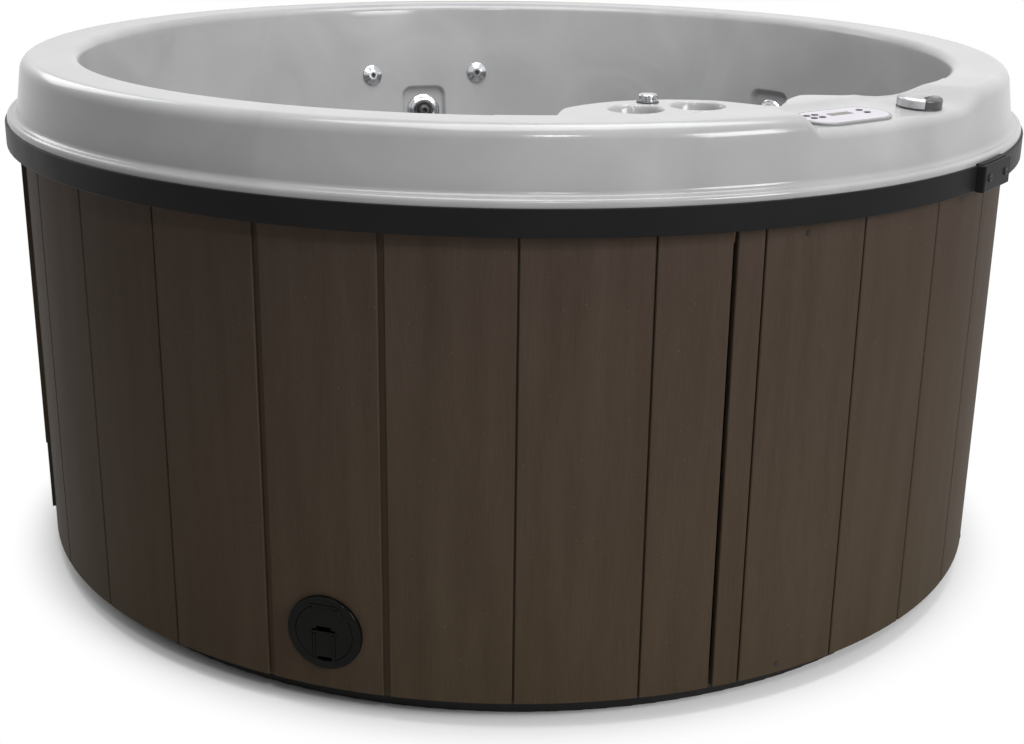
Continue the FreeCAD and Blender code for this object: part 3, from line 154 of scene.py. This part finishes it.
grain_group.links.new(grained.outputs["Result"], grain_end.inputs["Grain"])


def timber(name, early, middle, late):
    """Timber: growth rings from early to late wood, in three shades, with a raised grain."""
    made, tree, main = finish(name, {"Roughness": 0.62, "Specular IOR Level": 0.3})
    grain = shader(tree, "Group", node_tree=grain_group).outputs["Grain"]
    tone = ramp(tree, grain, (0.2, early), (0.5, middle), (0.85, late))
    tree.links.new(tone, main.inputs["Base Color"])
    raised = shader(tree, "Bump", {"Height": grain, "Strength": 0.35, "Distance": 0.0006})
    tree.links.new(raised.outputs["Normal"], main.inputs["Normal"])
    return made


frame_timber = timber("frame_timber", (0.34, 0.24, 0.14), (0.27, 0.18, 0.10), (0.17, 0.10, 0.05))
# Painted shade: a near-black copy of the frame timber, for the lower ring where it shows under the
# boards.
painted_shade_timber = timber(
    "painted_shade_timber", (0.022, 0.016, 0.011), (0.017, 0.012, 0.008), (0.011, 0.008, 0.005))
dressed(frame_timber, "upper_frame_ring", "frame_posts", "footwell_support")
dressed(painted_shade_timber, "lower_frame_ring")

# Acrylic shell: one vacuum-formed sheet of silver-grey pearl acrylic, from the lip that the band
# holds to the footwell, with control recess, deck, cups and jet hollows moulded in. It hangs by its
# lip and stands on the footwell support. Lengths are in millimetres, turns in degrees.
millimetre = 0.001
shell_wall = 6.0
lip_radius, lip_foot, flange_height = 985.7, 832.0, 883.0
flank_foot, flank_lean, rim_rise = 967.7, 15.0, 102.0
rim_height, rim_outer, rim_inner, rim_fall = 985.0, 952.7, 849.7, 2.0
deck_height, wall_foot, bench_height = 955.0, 791.7, 440.0
wall_step, wall_lean = 3.0, math.radians(6.1)
bench_inner, bench_edge_height = 471.7, 428.0
footwell_radius, floor_height = 429.7, 115.0
recess_start, recess_full, recess_ease, recess_end = 27.43, 29.22, 50.28, 56.63
recess_drop, recess_tilt = 23.5, math.tan(math.radians(3))
recess_inset, recess_slope = 27.0, math.tan(math.radians(20))
valley_gap, valley_plain, valley_fall = 6.0, 891.0, 0.6
crest_inset, crest_gap, crest_plain, crest_fall = 48.0, 3.0, 870.0, 0.8
edge_fall = 0.2
boss_top, boss_round, boss_blend = 976.0, 0.85, 85.0
boss_from, boss_to, boss_step, bell_reach = 20.0, 70.0, 0.05, 3.0
boss_turns = np.array([28.2, 36.0, 40.2, 45.0, 53.0, 61.0])
boss_reach = np.array([-4.0, 95.0, 116.0, 50.0, 16.0, -4.0])
deck_axis, deck_angle, deck_radius = 765.7, 21.0, 228.0
deck_held, deck_ease, deck_ease_span, deck_end = 15.8, 13.0, 8.5, 21.5
deck_outer, deck_slack, drum_blend = 846.0, 1.0, 120.0
lip_round, flank_round, shoulder_round, recess_shoulder_round = 7.0, 11.0, 26.0, 20.0
ridge_round, recess_valley_round, recess_crest_round = 14.0, 94.0, 44.0
edge_round, recess_edge_round, deck_back_round, deck_edge_round = 18.0, 15.0, 12.0, 20.0
wall_foot_round, drum_foot_round, bench_round, footwell_round = 70.0, 40.0, 40.0, 60.0
arc_share = 0.49
merge_reach = 2e-5
least_leg, least_normal = 1e-6, 1e-12
cup_spots = np.array([[199.7, -609.6], [305.8, -567.8], [324.4, -672.0]])
cup_radius, cup_depth, cup_wall = 43.0, 26.0, 9.0
pocket_spots, pocket_from = ((-163.8, 722.0), (132.8, 755.0)), 700.0
pocket_size, pocket_corner, pocket_depth, pocket_draft = (113.0, 124.0), 24.0, 12.0, 9.0


def eased(share):
    """Smooth step: 3 s^2 - 2 s^3 of a share s held between 0 and 1."""
    share = np.clip(share, 0.0, 1.0)
    return share * share * (3 - 2 * share)


def between(plain, changed, share):
    """A straight blend: the plain value plus a share of its difference from the changed one."""
    return plain + (changed - plain) * share


def boss_outline(turn):
    """How far the boss stands in from the rim's inner edge at each angle: straight lines between
    its corners, rounded off by a bell-shaped running mean over the angle."""
    fine = np.arange(boss_from, boss_to, boss_step)
    plain = np.maximum(np.interp(fine, boss_turns, boss_reach, left=0.0, right=0.0), 0.0)
    bell_turns = np.arange(-bell_reach, bell_reach + boss_step / 5, boss_step)
    bell = np.exp(-0.5 * (bell_turns / boss_round) ** 2)
    soft = np.convolve(plain, bell / bell.sum(), "same")
    return np.interp(turn, fine, soft, left=0.0, right=0.0)


def shell_corners(turn):
    """Corners (radius, height, rounding) of the shell's section at each angle from the front.

    The recess lowers the rim's top by an eased share of its drop. Its floor rises inward by its
    tilt to the valley at the boss's foot, then by its slope to the crest at the boss's top. The
    deck's edge lies where a ray from the tub's axis first meets the drum's circle, eased into the
    wall at both sides. The wall leans in less where the boss stands out from it.
    """
    recess = eased((turn - recess_start) / (recess_full - recess_start))
    recess = recess * eased((recess_end - turn) / (recess_end - recess_ease))
    boss = boss_outline(turn)
    edge = rim_inner - boss
    top = rim_height - recess_drop * recess
    shoulder = flank_foot - flank_lean * (top - flange_height) / rim_rise
    crest = np.maximum(rim_inner - crest_inset, edge + crest_gap)
    valley = np.maximum(rim_inner - recess_inset, crest + valley_gap)
    valley_height = rim_height - recess_drop + (rim_outer - valley) * recess_tilt
    crest_height = np.minimum(boss_top, valley_height + (valley - crest) * recess_slope)
    plain = 1 - recess
    plain_height = rim_height - rim_fall
    valley_height = valley_height * recess + (rim_height - valley_fall * rim_fall) * plain
    crest_height = crest_height * recess + (rim_height - crest_fall * rim_fall) * plain
    edge_height = np.where(recess > 0, crest_height - edge_fall * rim_fall * plain, plain_height)
    valley = valley * recess + valley_plain * plain
    crest = crest * recess + crest_plain * plain
    swing = np.abs(turn - deck_angle)
    held = np.radians(np.minimum(swing, deck_held))
    sideways = deck_axis * np.sin(held)
    circle = deck_axis * np.cos(held) - np.sqrt(deck_radius ** 2 - sideways ** 2)
    inner_wall = edge - wall_step
    deck_edge = between(circle, inner_wall, eased((swing - deck_ease) / deck_ease_span))
    deck_edge = np.where(swing > deck_end, inner_wall, np.minimum(deck_edge, inner_wall))
    drum = eased((inner_wall - deck_edge) / drum_blend)
    lean = (rim_inner - wall_step - wall_foot) * (1 - eased(boss / boss_blend))
    foot = deck_edge - lean * (1 - drum)
    shoulder_height = top - (shoulder - rim_outer) * recess_tilt * recess
    rows = [
        (lip_radius, lip_foot, 0),
        (lip_radius, flange_height, lip_round),
        (flank_foot, flange_height, flank_round),
        (shoulder, shoulder_height, between(shoulder_round, recess_shoulder_round, recess)),
        (valley, valley_height, between(ridge_round, recess_valley_round, recess)),
        (crest, crest_height, between(ridge_round, recess_crest_round, recess)),
        (edge, edge_height, between(edge_round, recess_edge_round, recess)),
        (inner_wall, deck_height, deck_back_round),
        (deck_edge, deck_height, deck_edge_round),
        (foot, bench_height, between(wall_foot_round, drum_foot_round, drum)),
        (bench_inner, bench_edge_height, bench_round),
        (footwell_radius, floor_height, footwell_round),
        (0, floor_height, 0),
    ]
    even = np.ones_like(turn)
    return np.stack([np.stack([value * even for value in row], -1) for row in rows], 1)


def rounded_section(corners, arc_steps, leg_shares):
    """Points (radius, height) along each section: straight legs, with the arc at each corner that
    touches both legs. The arc is a rational quadratic curve whose middle weight is the cosine of
    half the turn."""
    spots, rounding = corners[..., :2], corners[..., 2]
    legs = np.diff(spots, axis=1)
    lengths = np.linalg.norm(legs, axis=-1)
    ways = legs / np.maximum(lengths, least_leg)[..., None]
    bend = np.sum(ways[:, :-1] * ways[:, 1:], -1).clip(-1, 1)
    half = np.arccos(bend) / 2
    room = arc_share * np.minimum(lengths[:, :-1], lengths[:, 1:])
    reach = np.minimum(rounding[:, 1:-1] * np.tan(half), room)
    starts = spots[:, 1:-1] - ways[:, :-1] * reach[..., None]
    ends = spots[:, 1:-1] + ways[:, 1:] * reach[..., None]
    rows = [spots[:, :1]]
    last = spots[:, 0]
    for k, steps in enumerate(arc_steps):
        shares = np.asarray(leg_shares[k])[None, :, None]
        rows.append(last[:, None] + (starts[:, k] - last)[:, None] * shares)
        u = np.linspace(0, 1, steps)[None, :, None]
        weight = np.cos(half[:, k])[:, None, None]
        before, after = (1 - u) ** 2, u ** 2
        inside = 2 * u * (1 - u) * weight
        blend = before * starts[:, k, None] + inside * spots[:, k + 1, None]
        blend = blend + after * ends[:, k, None]
        rows.append(blend / (before + inside + after))
        last = ends[:, k]
    shares = np.asarray(leg_shares[-1])[None, :, None]
    rows.append(last[:, None] + (spots[:, -1] - last)[:, None] * shares)
    return np.concatenate(rows, 1)


def moulded(turn, section):
    """The section turned to its angle, with the cups sunk into the deck and the jet hollows into
    the wall. A cup sinks by an eased share of its depth across its wall. A hollow sinks along the
    wall's normal by an eased share of its depth, across its draft inside a rounded rectangle."""
    angle = np.radians(turn)[:, None]
    radius, height = section[..., 0], section[..., 1].copy()
    x, y = radius * np.sin(angle), -radius * np.cos(angle)
    on_deck = (np.abs(height - deck_height) < deck_slack) & (radius < deck_outer)
    for place in cup_spots:
        away = np.hypot(x - place[0], y - place[1])
        sink = cup_depth * eased((cup_radius + cup_wall / 2 - away) / cup_wall)
        height = height - np.where(on_deck, sink, 0.0)
    for middle, level in pocket_spots:
        across = np.radians(turn - middle)[:, None] * radius
        u = np.abs(across) - pocket_size[0] / 2 + pocket_corner
        v = np.abs(height - level) - pocket_size[1] / 2 + pocket_corner
        outside = np.hypot(np.maximum(u, 0), np.maximum(v, 0))
        outside = outside + np.minimum(np.maximum(u, v), 0) - pocket_corner
        sink = pocket_depth * eased(-outside / pocket_draft) * (radius > pocket_from)
        radius = radius + sink * math.cos(wall_lean)
        height = height - sink * math.sin(wall_lean)
    x, y = radius * np.sin(angle), -radius * np.cos(angle)
    return np.stack([x, y, height], -1) * millimetre


def sheet(name, points):
    """Mesh of four-sided faces over a grid of points, facing its columns' way crossed with its
    rows'. Points that fall together are merged."""
    columns, rows = points.shape[:2]
    index = np.arange(columns * rows).reshape(columns, rows)
    faces = np.stack([index[:-1, :-1], index[1:, :-1], index[1:, 1:], index[:-1, 1:]], -1)
    mesh = bpy.data.meshes.new(name)
    mesh.from_pydata(points.reshape(-1, 3).tolist(), [], faces.reshape(-1, 4).tolist())
    piece = bpy.data.objects.new(name, mesh)
    scene.collection.objects.link(piece)
    work = bmesh.new()
    work.from_mesh(mesh)
    bmesh.ops.remove_doubles(work, verts=work.verts, dist=merge_reach)
    work.to_mesh(mesh)
    work.free()
    mesh.shade_smooth()
    return piece


def fan(count):
    """Even shares between the two ends of a leg, ends left out."""
    return np.linspace(0, 1, count + 2)[1:-1]


def backed(points, wall):
    """The grid moved in by the wall along its normal, the cross product of its steps along
    columns and rows, and turned over. The first row is kept, so that the skins meet at the lip."""
    across = np.cross(np.gradient(points, axis=0), np.gradient(points, axis=1))
    across = across / np.maximum(np.linalg.norm(across, axis=-1, keepdims=True), least_normal)
    return np.concatenate([points[:, :1], points - across * wall], 1)[::-1]


def turns(*runs):
    """Angles along runs of (start, end, step), in order and each once. Those past half a turn are
    then given as negative ones."""
    once = np.unique(np.concatenate([np.arange(*run) for run in runs]).round(3))
    return np.where(once > 180.0, once - 360.0, once)


front_turns = turns((-2.0, 5.0, 0.25), (5.0, 46.0, 0.2), (46.0, 62.1, 0.25), (26.0, 30.0, 0.1))
floor_shares = np.linspace(0.1, 1, 10)
front_section = rounded_section(
    shell_corners(front_turns), (8, 10, 14, 8, 8, 12, 8, 10, 12, 10, 12),
    (fan(3), fan(2), fan(8), fan(10), fan(3), fan(6), fan(4), fan(96), fan(20), fan(8), fan(10),
     floor_shares))
shell_front = sheet("shell_front", moulded(front_turns, front_section))

# Behind the recess and the deck the section needs no valley, crest or deck corners, and the rows
# and columns close up where the large jets' hollows lie.
back_turns = turns(
    (62.0, 64.0, 0.25), (64.0, 356.0, 1.0), (356.0, 358.1, 0.25),
    (127.4, 138.2, 0.2), (190.8, 201.6, 0.2))
back_corners = [0, 1, 2, 3, 6, 9, 10, 11, 12]
wall_shares = np.concatenate([
    np.linspace(0.02, 0.31, 12), np.linspace(0.318, 0.62, 58), np.linspace(0.64, 0.98, 12)])
back_section = rounded_section(
    shell_corners(back_turns)[:, back_corners], (8, 10, 14, 12, 12, 10, 12),
    (fan(3), fan(2), fan(8), fan(8), wall_shares, fan(8), fan(10), floor_shares))
shell_back = sheet("shell_back", moulded(back_turns, back_section))

# The under side is the same sheet again, moved in by the wall and laid up with glass fibre.
under_turns = turns(
    (-2.0, 62.0, 0.5), (62.0, 358.1, 2.0), (127.2, 138.6, 0.4), (190.6, 202.0, 0.4))
under_section = rounded_section(
    shell_corners(under_turns), (3, 4, 5, 3, 3, 5, 4, 4, 6, 5, 6),
    (fan(1), fan(1), fan(2), fan(3), fan(1), fan(2), fan(2), fan(48), fan(70), fan(3), fan(3),
     [0.3, 0.6, 0.97]))
under_points = backed(moulded(under_turns, under_section), shell_wall * millimetre)
shell_under = sheet("shell_under", under_points)

acrylic, tree, main = finish("pearl_acrylic", {
    "Specular IOR Level": 0.04, "Coat Weight": 0.6, "Coat Roughness": 0.14})
spot = shader(tree, "TexCoord").outputs["Object"]
drift = shader(tree, "TexNoise", {"Vector": spot, "Scale": 4.0, "Detail": 7.0, "Distortion": 1.2})
flake = shader(tree, "TexVoronoi", {"Vector": spot, "Scale": 1600.0})
pearl = shader(tree, "Mix", {
    "Factor": 0.18, "A": drift.outputs["Fac"], "B": flake.outputs["Distance"]})
tone = ramp(
    tree, pearl.outputs["Result"], (0.34, (0.252, 0.252, 0.255)), (0.66, (0.300, 0.300, 0.301)))
tree.links.new(tone, main.inputs["Base Color"])
tree.links.new(spread(tree, drift.outputs["Fac"], 0.28, 0.38), main.inputs["Roughness"])
backing, tree, main = finish("shell_backing", {"Roughness": 0.5})
spot = shader(tree, "TexCoord").outputs["Object"]
strand = shader(tree, "TexVoronoi", {
    "Vector": spot, "Scale": 90.0, "Randomness": 1.0}, feature="DISTANCE_TO_EDGE")
resin = shader(tree, "TexNoise", {"Vector": spot, "Scale": 8.0, "Detail": 4.0})
matted = shader(tree, "Mix", {
    "Factor": 0.55, "A": strand.outputs["Distance"], "B": resin.outputs["Fac"]})
tone = ramp(tree, matted.outputs["Result"], (0.1, (0.52, 0.50, 0.42)), (0.5, (0.40, 0.38, 0.31)))
tree.links.new(tone, main.inputs["Base Color"])
laid = shader(tree, "Bump", {
    "Height": strand.outputs["Distance"], "Strength": 0.4, "Distance": 0.002})
tree.links.new(laid.outputs["Normal"], main.inputs["Normal"])
shell_under.data.materials.append(backing)
shell_front.data.materials.append(acrylic)
shell_back.data.materials.append(acrylic)
for piece in (shell_front, shell_back, shell_under):
    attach(piece, "tub")
    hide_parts("acrylic_shell")

# Jets: dark plastic bodies clamped through the wall, with chromed faces that turn. The two small
# ones are domes with a centre hole; the two large ones are stepped rings round a ball nozzle.
brush, brush_end = effect("brushed_lines", "Smear", "Line")
spot = shader(brush, "TexCoord").outputs["Object"]
smear = shader(brush, "TexNoise", {"Vector": spot, "Scale": 35.0, "Detail": 4.0})
stretched = shader(brush, "Mapping", {
    "Vector": spot, "Scale": (60.0, 60.0, 2400.0)}).outputs["Vector"]
line = shader(brush, "TexNoise", {"Vector": stretched, "Scale": 1.0, "Detail": 2.0})
brush.links.new(smear.outputs["Fac"], brush_end.inputs["Smear"])
brush.links.new(line.outputs["Fac"], brush_end.inputs["Line"])


def metal(name, dark, light, smooth, rough, relief):
    """Metal: smears of two close shades and roughnesses, with fine lines from polishing."""
    made, tree, main = finish(name, {"Metallic": 1.0})
    skin = shader(tree, "Group", node_tree=brush)
    tone = ramp(tree, skin.outputs["Smear"], (noise_low, dark), (noise_high, light))
    tree.links.new(tone, main.inputs["Base Color"])
    tree.links.new(spread(tree, skin.outputs["Smear"], smooth, rough), main.inputs["Roughness"])
    bump = shader(tree, "Bump", {
        "Height": skin.outputs["Line"], "Strength": relief, "Distance": 0.0001})
    tree.links.new(bump.outputs["Normal"], main.inputs["Normal"])
    return made


chrome = metal("chrome_plate", (0.46, 0.47, 0.49), (0.56, 0.57, 0.58), 0.12, 0.2, 0.02)
fitting_dark = plastic(
    "fitting_dark", (0.018, 0.018, 0.019), (0.030, 0.030, 0.031), 0.3, 0.42, 0.1)
dressed(chrome, "small_jet_face_1", "small_jet_face_2", "large_jet_ring_1", "large_jet_ring_2")
dressed(
    fitting_dark, "small_jet_bodies", "large_jet_bodies", "large_jet_nozzle_1", "large_jet_nozzle_2")

# Suction covers and filter: domed covers of grey plastic with radial slots, and a curved grille
# with a pleated paper cartridge behind it in the drum. They clip and screw into the shell.
fitting_grey = plastic("fitting_grey", (0.30, 0.30, 0.305), (0.37, 0.37, 0.372), 0.3, 0.4, 0.1)
dressed(fitting_grey, "suction_covers", "filter_grille")
filter_cloth, tree, main = finish("filter_cloth", {"Roughness": 0.85})
spot = shader(tree, "TexCoord").outputs["Object"]
weave = shader(tree, "TexNoise", {"Vector": spot, "Scale": 600.0, "Detail": 3.0})
stain = shader(tree, "TexNoise", {"Vector": spot, "Scale": 14.0, "Detail": 3.0})
soiled = shader(tree, "Mix", {"Factor": 0.4, "A": stain.outputs["Fac"], "B": weave.outputs["Fac"]})
tone = ramp(
    tree, soiled.outputs["Result"],
    (noise_low, (0.62, 0.62, 0.60)), (noise_high, (0.78, 0.78, 0.77)))
tree.links.new(tone, main.inputs["Base Color"])
woven = shader(tree, "Bump", {
    "Height": weave.outputs["Fac"], "Strength": 0.5, "Distance": 0.0006})
tree.links.new(woven.outputs["Normal"], main.inputs["Normal"])
dressed(filter_cloth, "filter_cartridge")

# Pump, pack and pipes: a painted motor with a black pump end, a grey control box with a steel
# heater tube, and white plastic pipes to the suctions and jets. Pump and pack stand on the base pan
# behind the door.
motor_paint = plastic(
    "motor_paint", (0.030, 0.036, 0.045), (0.045, 0.052, 0.062), 0.35, 0.5, 0.4)
dressed(motor_paint, "pump_motor")
dressed(fitting_dark, "pump_wet_end")
pack_grey = plastic("pack_grey", (0.16, 0.165, 0.17), (0.21, 0.215, 0.22), 0.45, 0.55, 0.5)
dressed(pack_grey, "equipment_pack")
heater_steel = metal("heater_steel", (0.50, 0.50, 0.51), (0.62, 0.62, 0.62), 0.22, 0.36, 0.15)
dressed(heater_steel, "heater")
pipe_white = plastic("pipe_white", (0.66, 0.66, 0.65), (0.74, 0.74, 0.73), 0.28, 0.4, 0.05)
dressed(pipe_white, "water_pipes", "ring_main")

# Cabinet: upright boards of brown wood-plastic, extruded with a fine brushed grain and lapped at
# their edges, screwed to the frame. A proud board and a dark strip close the left side.
groove_radius, board_radius = 0.9535, 0.9580
board_low, board_high = 0.1, 0.8
fleck_from, fleck_full = 0.75, 0.82
brown_board, tree, main = finish("brown_board", {"Specular IOR Level": 0.03})
spot = shader(tree, "SeparateXYZ", {"Vector": shader(tree, "TexCoord").outputs["Object"]})
back = shader(tree, "Math", {0: spot.outputs["Y"], 1: -1.0}, operation="MULTIPLY").outputs[0]
turn = shader(tree, "Math", {0: spot.outputs["X"], 1: back}, operation="ARCTAN2").outputs[0]
flat = shader(tree, "CombineXYZ", {"X": spot.outputs["X"], "Y": spot.outputs["Y"]})
away = shader(tree, "VectorMath", {0: flat.outputs["Vector"]}, operation="LENGTH").outputs["Value"]
unrolled = shader(tree, "CombineXYZ", {
    "X": turn, "Y": spot.outputs["Z"], "Z": away}).outputs["Vector"]
fine = shader(tree, "Mapping", {"Vector": unrolled, "Scale": (1150.0, 22.0, 40.0)})
streak = shader(tree, "TexNoise", {
    "Vector": fine.outputs["Vector"], "Scale": 1.0, "Detail": 3.0, "Roughness": 0.6})
broad = shader(tree, "Mapping", {"Vector": unrolled, "Scale": (26.0, 2.2, 4.0)})
shade = shader(tree, "TexNoise", {
    "Vector": broad.outputs["Vector"], "Scale": 1.0, "Detail": 4.0})
dotted = shader(tree, "Mapping", {"Vector": unrolled, "Scale": (300.0, 300.0, 300.0)})
fleck = shader(tree, "TexNoise", {
    "Vector": dotted.outputs["Vector"], "Scale": 1.0, "Detail": 1.0})
fleck_mask = shader(tree, "MapRange", {
    "Value": fleck.outputs["Fac"], "From Min": fleck_from, "From Max": fleck_full})
grain = shader(tree, "Mix", {
    "Factor": 0.42, "A": streak.outputs["Fac"], "B": shade.outputs["Fac"]})
tone = ramp(
    tree, grain.outputs["Result"],
    (noise_low, (0.0365, 0.0258, 0.0176)), (noise_high, (0.0570, 0.0420, 0.0305)))
flecked = shader(tree, "Mix", {
    "Factor": fleck_mask.outputs["Result"], "A": tone, "B": (0.16, 0.13, 0.10, 1)},
    data_type="RGBA")
groove = shader(tree, "MapRange", {
    "Value": away, "From Min": groove_radius, "From Max": board_radius})
dusky = shader(tree, "Mix", {
    "Factor": groove.outputs["Result"], "A": (0.046, 0.033, 0.022, 1),
    "B": flecked.outputs["Result"]}, data_type="RGBA")
# Painted light: the boards are tinted warmer towards their foot and bluer towards their top, as
# painted bounce light from the floor.
bounce_share = shader(tree, "MapRange", {
    "Value": spot.outputs["Z"], "From Min": board_low, "From Max": board_high})
painted_bounce_tint = ramp(tree, bounce_share.outputs["Result"], (0.0, (1.0, 0.99, 0.90)), (1.0, (1.0, 1.0, 1.08)))
bounce_tinted = shader(tree, "Mix", {
    "Factor": 1.0, "A": dusky.outputs["Result"], "B": painted_bounce_tint},
    data_type="RGBA", blend_type="MULTIPLY")
tree.links.new(bounce_tinted.outputs["Result"], main.inputs["Base Color"])
tree.links.new(spread(tree, streak.outputs["Fac"], 0.5, 0.62), main.inputs["Roughness"])
combed = shader(tree, "Bump", {
    "Height": streak.outputs["Fac"], "Strength": 0.3, "Distance": 0.0004})
tree.links.new(combed.outputs["Normal"], main.inputs["Normal"])
dressed(brown_board, *["cabinet_board_%d" % number for number in range(1, 9)])
dressed(brown_board, "rear_boards", "proud_board")
dressed(black_plastic, "lower_strip")

# Service door: the boards at the right, screwed to two timber battens, pull off as one panel to
# reach the pump. Its screws have dark heads.
dressed(brown_board, "door_boards")
dressed(frame_timber, "door_battens")
screw_dark = plastic(
    "screw_dark", (0.014, 0.012, 0.011), (0.024, 0.021, 0.019), 0.35, 0.5, 0.1,
    {"Specular IOR Level": 0.15})
dressed(screw_dark, "door_screws")

# Cord hatch: a round bezel of glossy black plastic, screwed to the cabinet, with a lid that hinges
# up and a small flap in it that a cord can pass under.
hatch_black = plastic(
    "hatch_black", (0.003, 0.003, 0.003), (0.005, 0.005, 0.004), 0.3, 0.4, 0.05,
    {"Specular IOR Level": 0.0, "Coat Weight": 0.14, "Coat Roughness": 0.07})
dressed(hatch_black, "hatch_bezel", "hatch_lid", "hatch_flap")
dressed(hatch_black, "hatch_lid_pin", "hatch_flap_pin", "hatch_screws")

# Trim band: an extruded strip of satin black plastic, bent round the tub over the boards' tops and
# the shell's lip. A clip with two screws draws its ends together at the right.
band_black = plastic(
    "band_black", (0.008, 0.008, 0.008), (0.010, 0.010, 0.010), 0.36, 0.46, 0.12,
    {"Specular IOR Level": 0.05})
dressed(band_black, "trim_band", "band_clip")
dressed(screw_dark, "band_clip_screws")

# Control panel: a grey plastic housing let into the recess, with a pale plain face, a dark display
# and six rubber keys that press in.
panel_grey = plastic(
    "panel_grey", (0.17, 0.17, 0.173), (0.21, 0.21, 0.213), 0.2, 0.28, 0.05,
    {"Specular IOR Level": 0.4})
panel_pale = plastic(
    "panel_pale", (0.35, 0.335, 0.365), (0.39, 0.375, 0.405), 0.45, 0.55, 0.1,
    {"Specular IOR Level": 0.05})
display_dark = plastic(
    "display_dark", (0.085, 0.088, 0.070), (0.11, 0.114, 0.094), 0.16, 0.24, 0.0,
    {"Specular IOR Level": 0.1})
key_dark = plastic(
    "key_dark", (0.030, 0.031, 0.036), (0.045, 0.046, 0.052), 0.45, 0.6, 0.3,
    {"Specular IOR Level": 0.1})
dressed(panel_grey, "control_housing")
dressed(panel_pale, "control_face")
dressed(display_dark, "control_display")
dressed(key_dark, *["control_key_%d" % number for number in range(1, 7)])

# Diverter valve and air knob: a silver cap with a dark grip that turns on a dark body beside the
# panel, and a small fluted chrome knob on the deck. Each turns on its spindle.
valve_silver = metal("valve_silver", (0.38, 0.38, 0.39), (0.46, 0.46, 0.47), 0.26, 0.36, 0.05)
valve_dark = plastic(
    "valve_dark", (0.030, 0.030, 0.032), (0.045, 0.045, 0.047), 0.3, 0.42, 0.15)
dressed(valve_dark, "valve_body", "valve_grip", "air_knob_seat")
dressed(valve_silver, "valve_handle")
dressed(chrome, "air_knob")

# Floor, lights and camera: a plain white floor that runs into a white backdrop under soft studio
# light, seen from the front and a little above, as a product is photographed.
floor_reach = 90
white_from, white_full = 0.90, 1.06
room_light, backdrop_light = 0.11, 1.0
floor_mesh = bpy.data.meshes.new("floor")
floor_corners = [
    (-floor_reach, -floor_reach, 0), (floor_reach, -floor_reach, 0),
    (floor_reach, floor_reach, 0), (-floor_reach, floor_reach, 0)]
floor_mesh.from_pydata(floor_corners, [], [(0, 1, 2, 3)])
floor = bpy.data.objects.new("floor", floor_mesh)
scene.collection.objects.link(floor)
paper, tree, main = finish("studio_paper", {"Roughness": 0.9, "Specular IOR Level": 0.1})
spot = shader(tree, "TexCoord").outputs["Object"]
fibre = shader(tree, "TexNoise", {"Vector": spot, "Scale": 3.0, "Detail": 2.0})
tone = ramp(
    tree, fibre.outputs["Fac"], (noise_low, (0.90, 0.90, 0.90)), (noise_high, (0.92, 0.92, 0.92)))
tree.links.new(tone, main.inputs["Base Color"])
away = shader(tree, "VectorMath", {0: spot}, operation="LENGTH").outputs["Value"]
far = shader(tree, "MapRange", {
    "Value": away, "From Min": white_from, "From Max": white_full},
    interpolation_type="SMOOTHSTEP")


def shown_rays(tree):
    """1 for rays that show the background to the camera, straight or by way of gloss or glass."""
    path = shader(tree, "LightPath").outputs
    bent = shader(tree, "Math", {
        0: path["Is Glossy Ray"], 1: path["Is Transmission Ray"]}, operation="MAXIMUM")
    shown = shader(tree, "Math", {
        0: path["Is Camera Ray"], 1: bent.outputs[0]}, operation="MAXIMUM")
    return shown.outputs[0]


whitened = shader(tree, "Math", {
    0: far.outputs["Result"], 1: shown_rays(tree)}, operation="MULTIPLY")
white = shader(tree, "Emission").outputs["Emission"]
mixed = shader(tree, "MixShader", {0: whitened.outputs[0], 1: main.outputs["BSDF"], 2: white})
tree.links.new(mixed.outputs["Shader"], tree.nodes["Material Output"].inputs["Surface"])
floor_mesh.materials.append(paper)

world = bpy.data.worlds.new("studio")
scene.world = world
world.use_nodes = True
tree = world.node_tree
room = tree.nodes["Background"]
room.inputs["Color"].default_value = (1, 1, 1, 1)
room.inputs["Strength"].default_value = room_light
backdrop = shader(tree, "Background", {"Color": (1, 1, 1, 1), "Strength": backdrop_light})
joined = shader(tree, "MixShader", {
    0: shown_rays(tree), 1: room.outputs["Background"], 2: backdrop.outputs["Background"]})
tree.links.new(joined.outputs["Shader"], tree.nodes["World Output"].inputs["Surface"])


def softbox(name, place, aim, size, power):
    """Rectangular lamp at a place that faces a point."""
    data = bpy.data.lights.new(name, "AREA")
    data.shape = "RECTANGLE"
    data.size, data.size_y = size
    data.energy = power
    lamp = bpy.data.objects.new(name, data)
    lamp.location = place
    lamp.rotation_mode = "QUATERNION"
    lamp.rotation_quaternion = (Vector(aim) - Vector(place)).to_track_quat("-Z", "Y")
    scene.collection.objects.link(lamp)


softbox("overhead", (0.2, -0.3, 3.6), (0, 0, 0.9), (3.0, 2.2), 160)
softbox("right_front", (3.2, -3.2, 2.4), (0, 0, 0.6), (1.5, 1.5), 134)
softbox("left_back", (-3.0, 2.6, 3.0), (0, 0, 0.9), (1.8, 1.8), 30)
softbox("front_key", (0.7, -4.6, 3.9), (0, 0, 0.7), (0.7, 0.5), 45)

camera_place = (0.0, -3.1694, 1.3616)
pitch, roll, swing = math.radians(18.70), math.radians(-0.73), 0.0007
camera_data = bpy.data.cameras.new("camera")
camera_data.sensor_width = 36.0
camera_data.lens = 54.58
camera = bpy.data.objects.new("camera", camera_data)
forward = Vector((swing, math.cos(pitch), -math.sin(pitch)))
level = Vector((1, -swing, 0))
down = forward.cross(level)
right = level * math.cos(roll) + down * math.sin(roll)
above = level * math.sin(roll) - down * math.cos(roll)
camera.matrix_world = Matrix((
    (right.x, above.x, -forward.x, camera_place[0]),
    (right.y, above.y, -forward.y, camera_place[1]),
    (right.z, above.z, -forward.z, camera_place[2]),
    (0, 0, 0, 1),
))
scene.collection.objects.link(camera)
scene.camera = camera
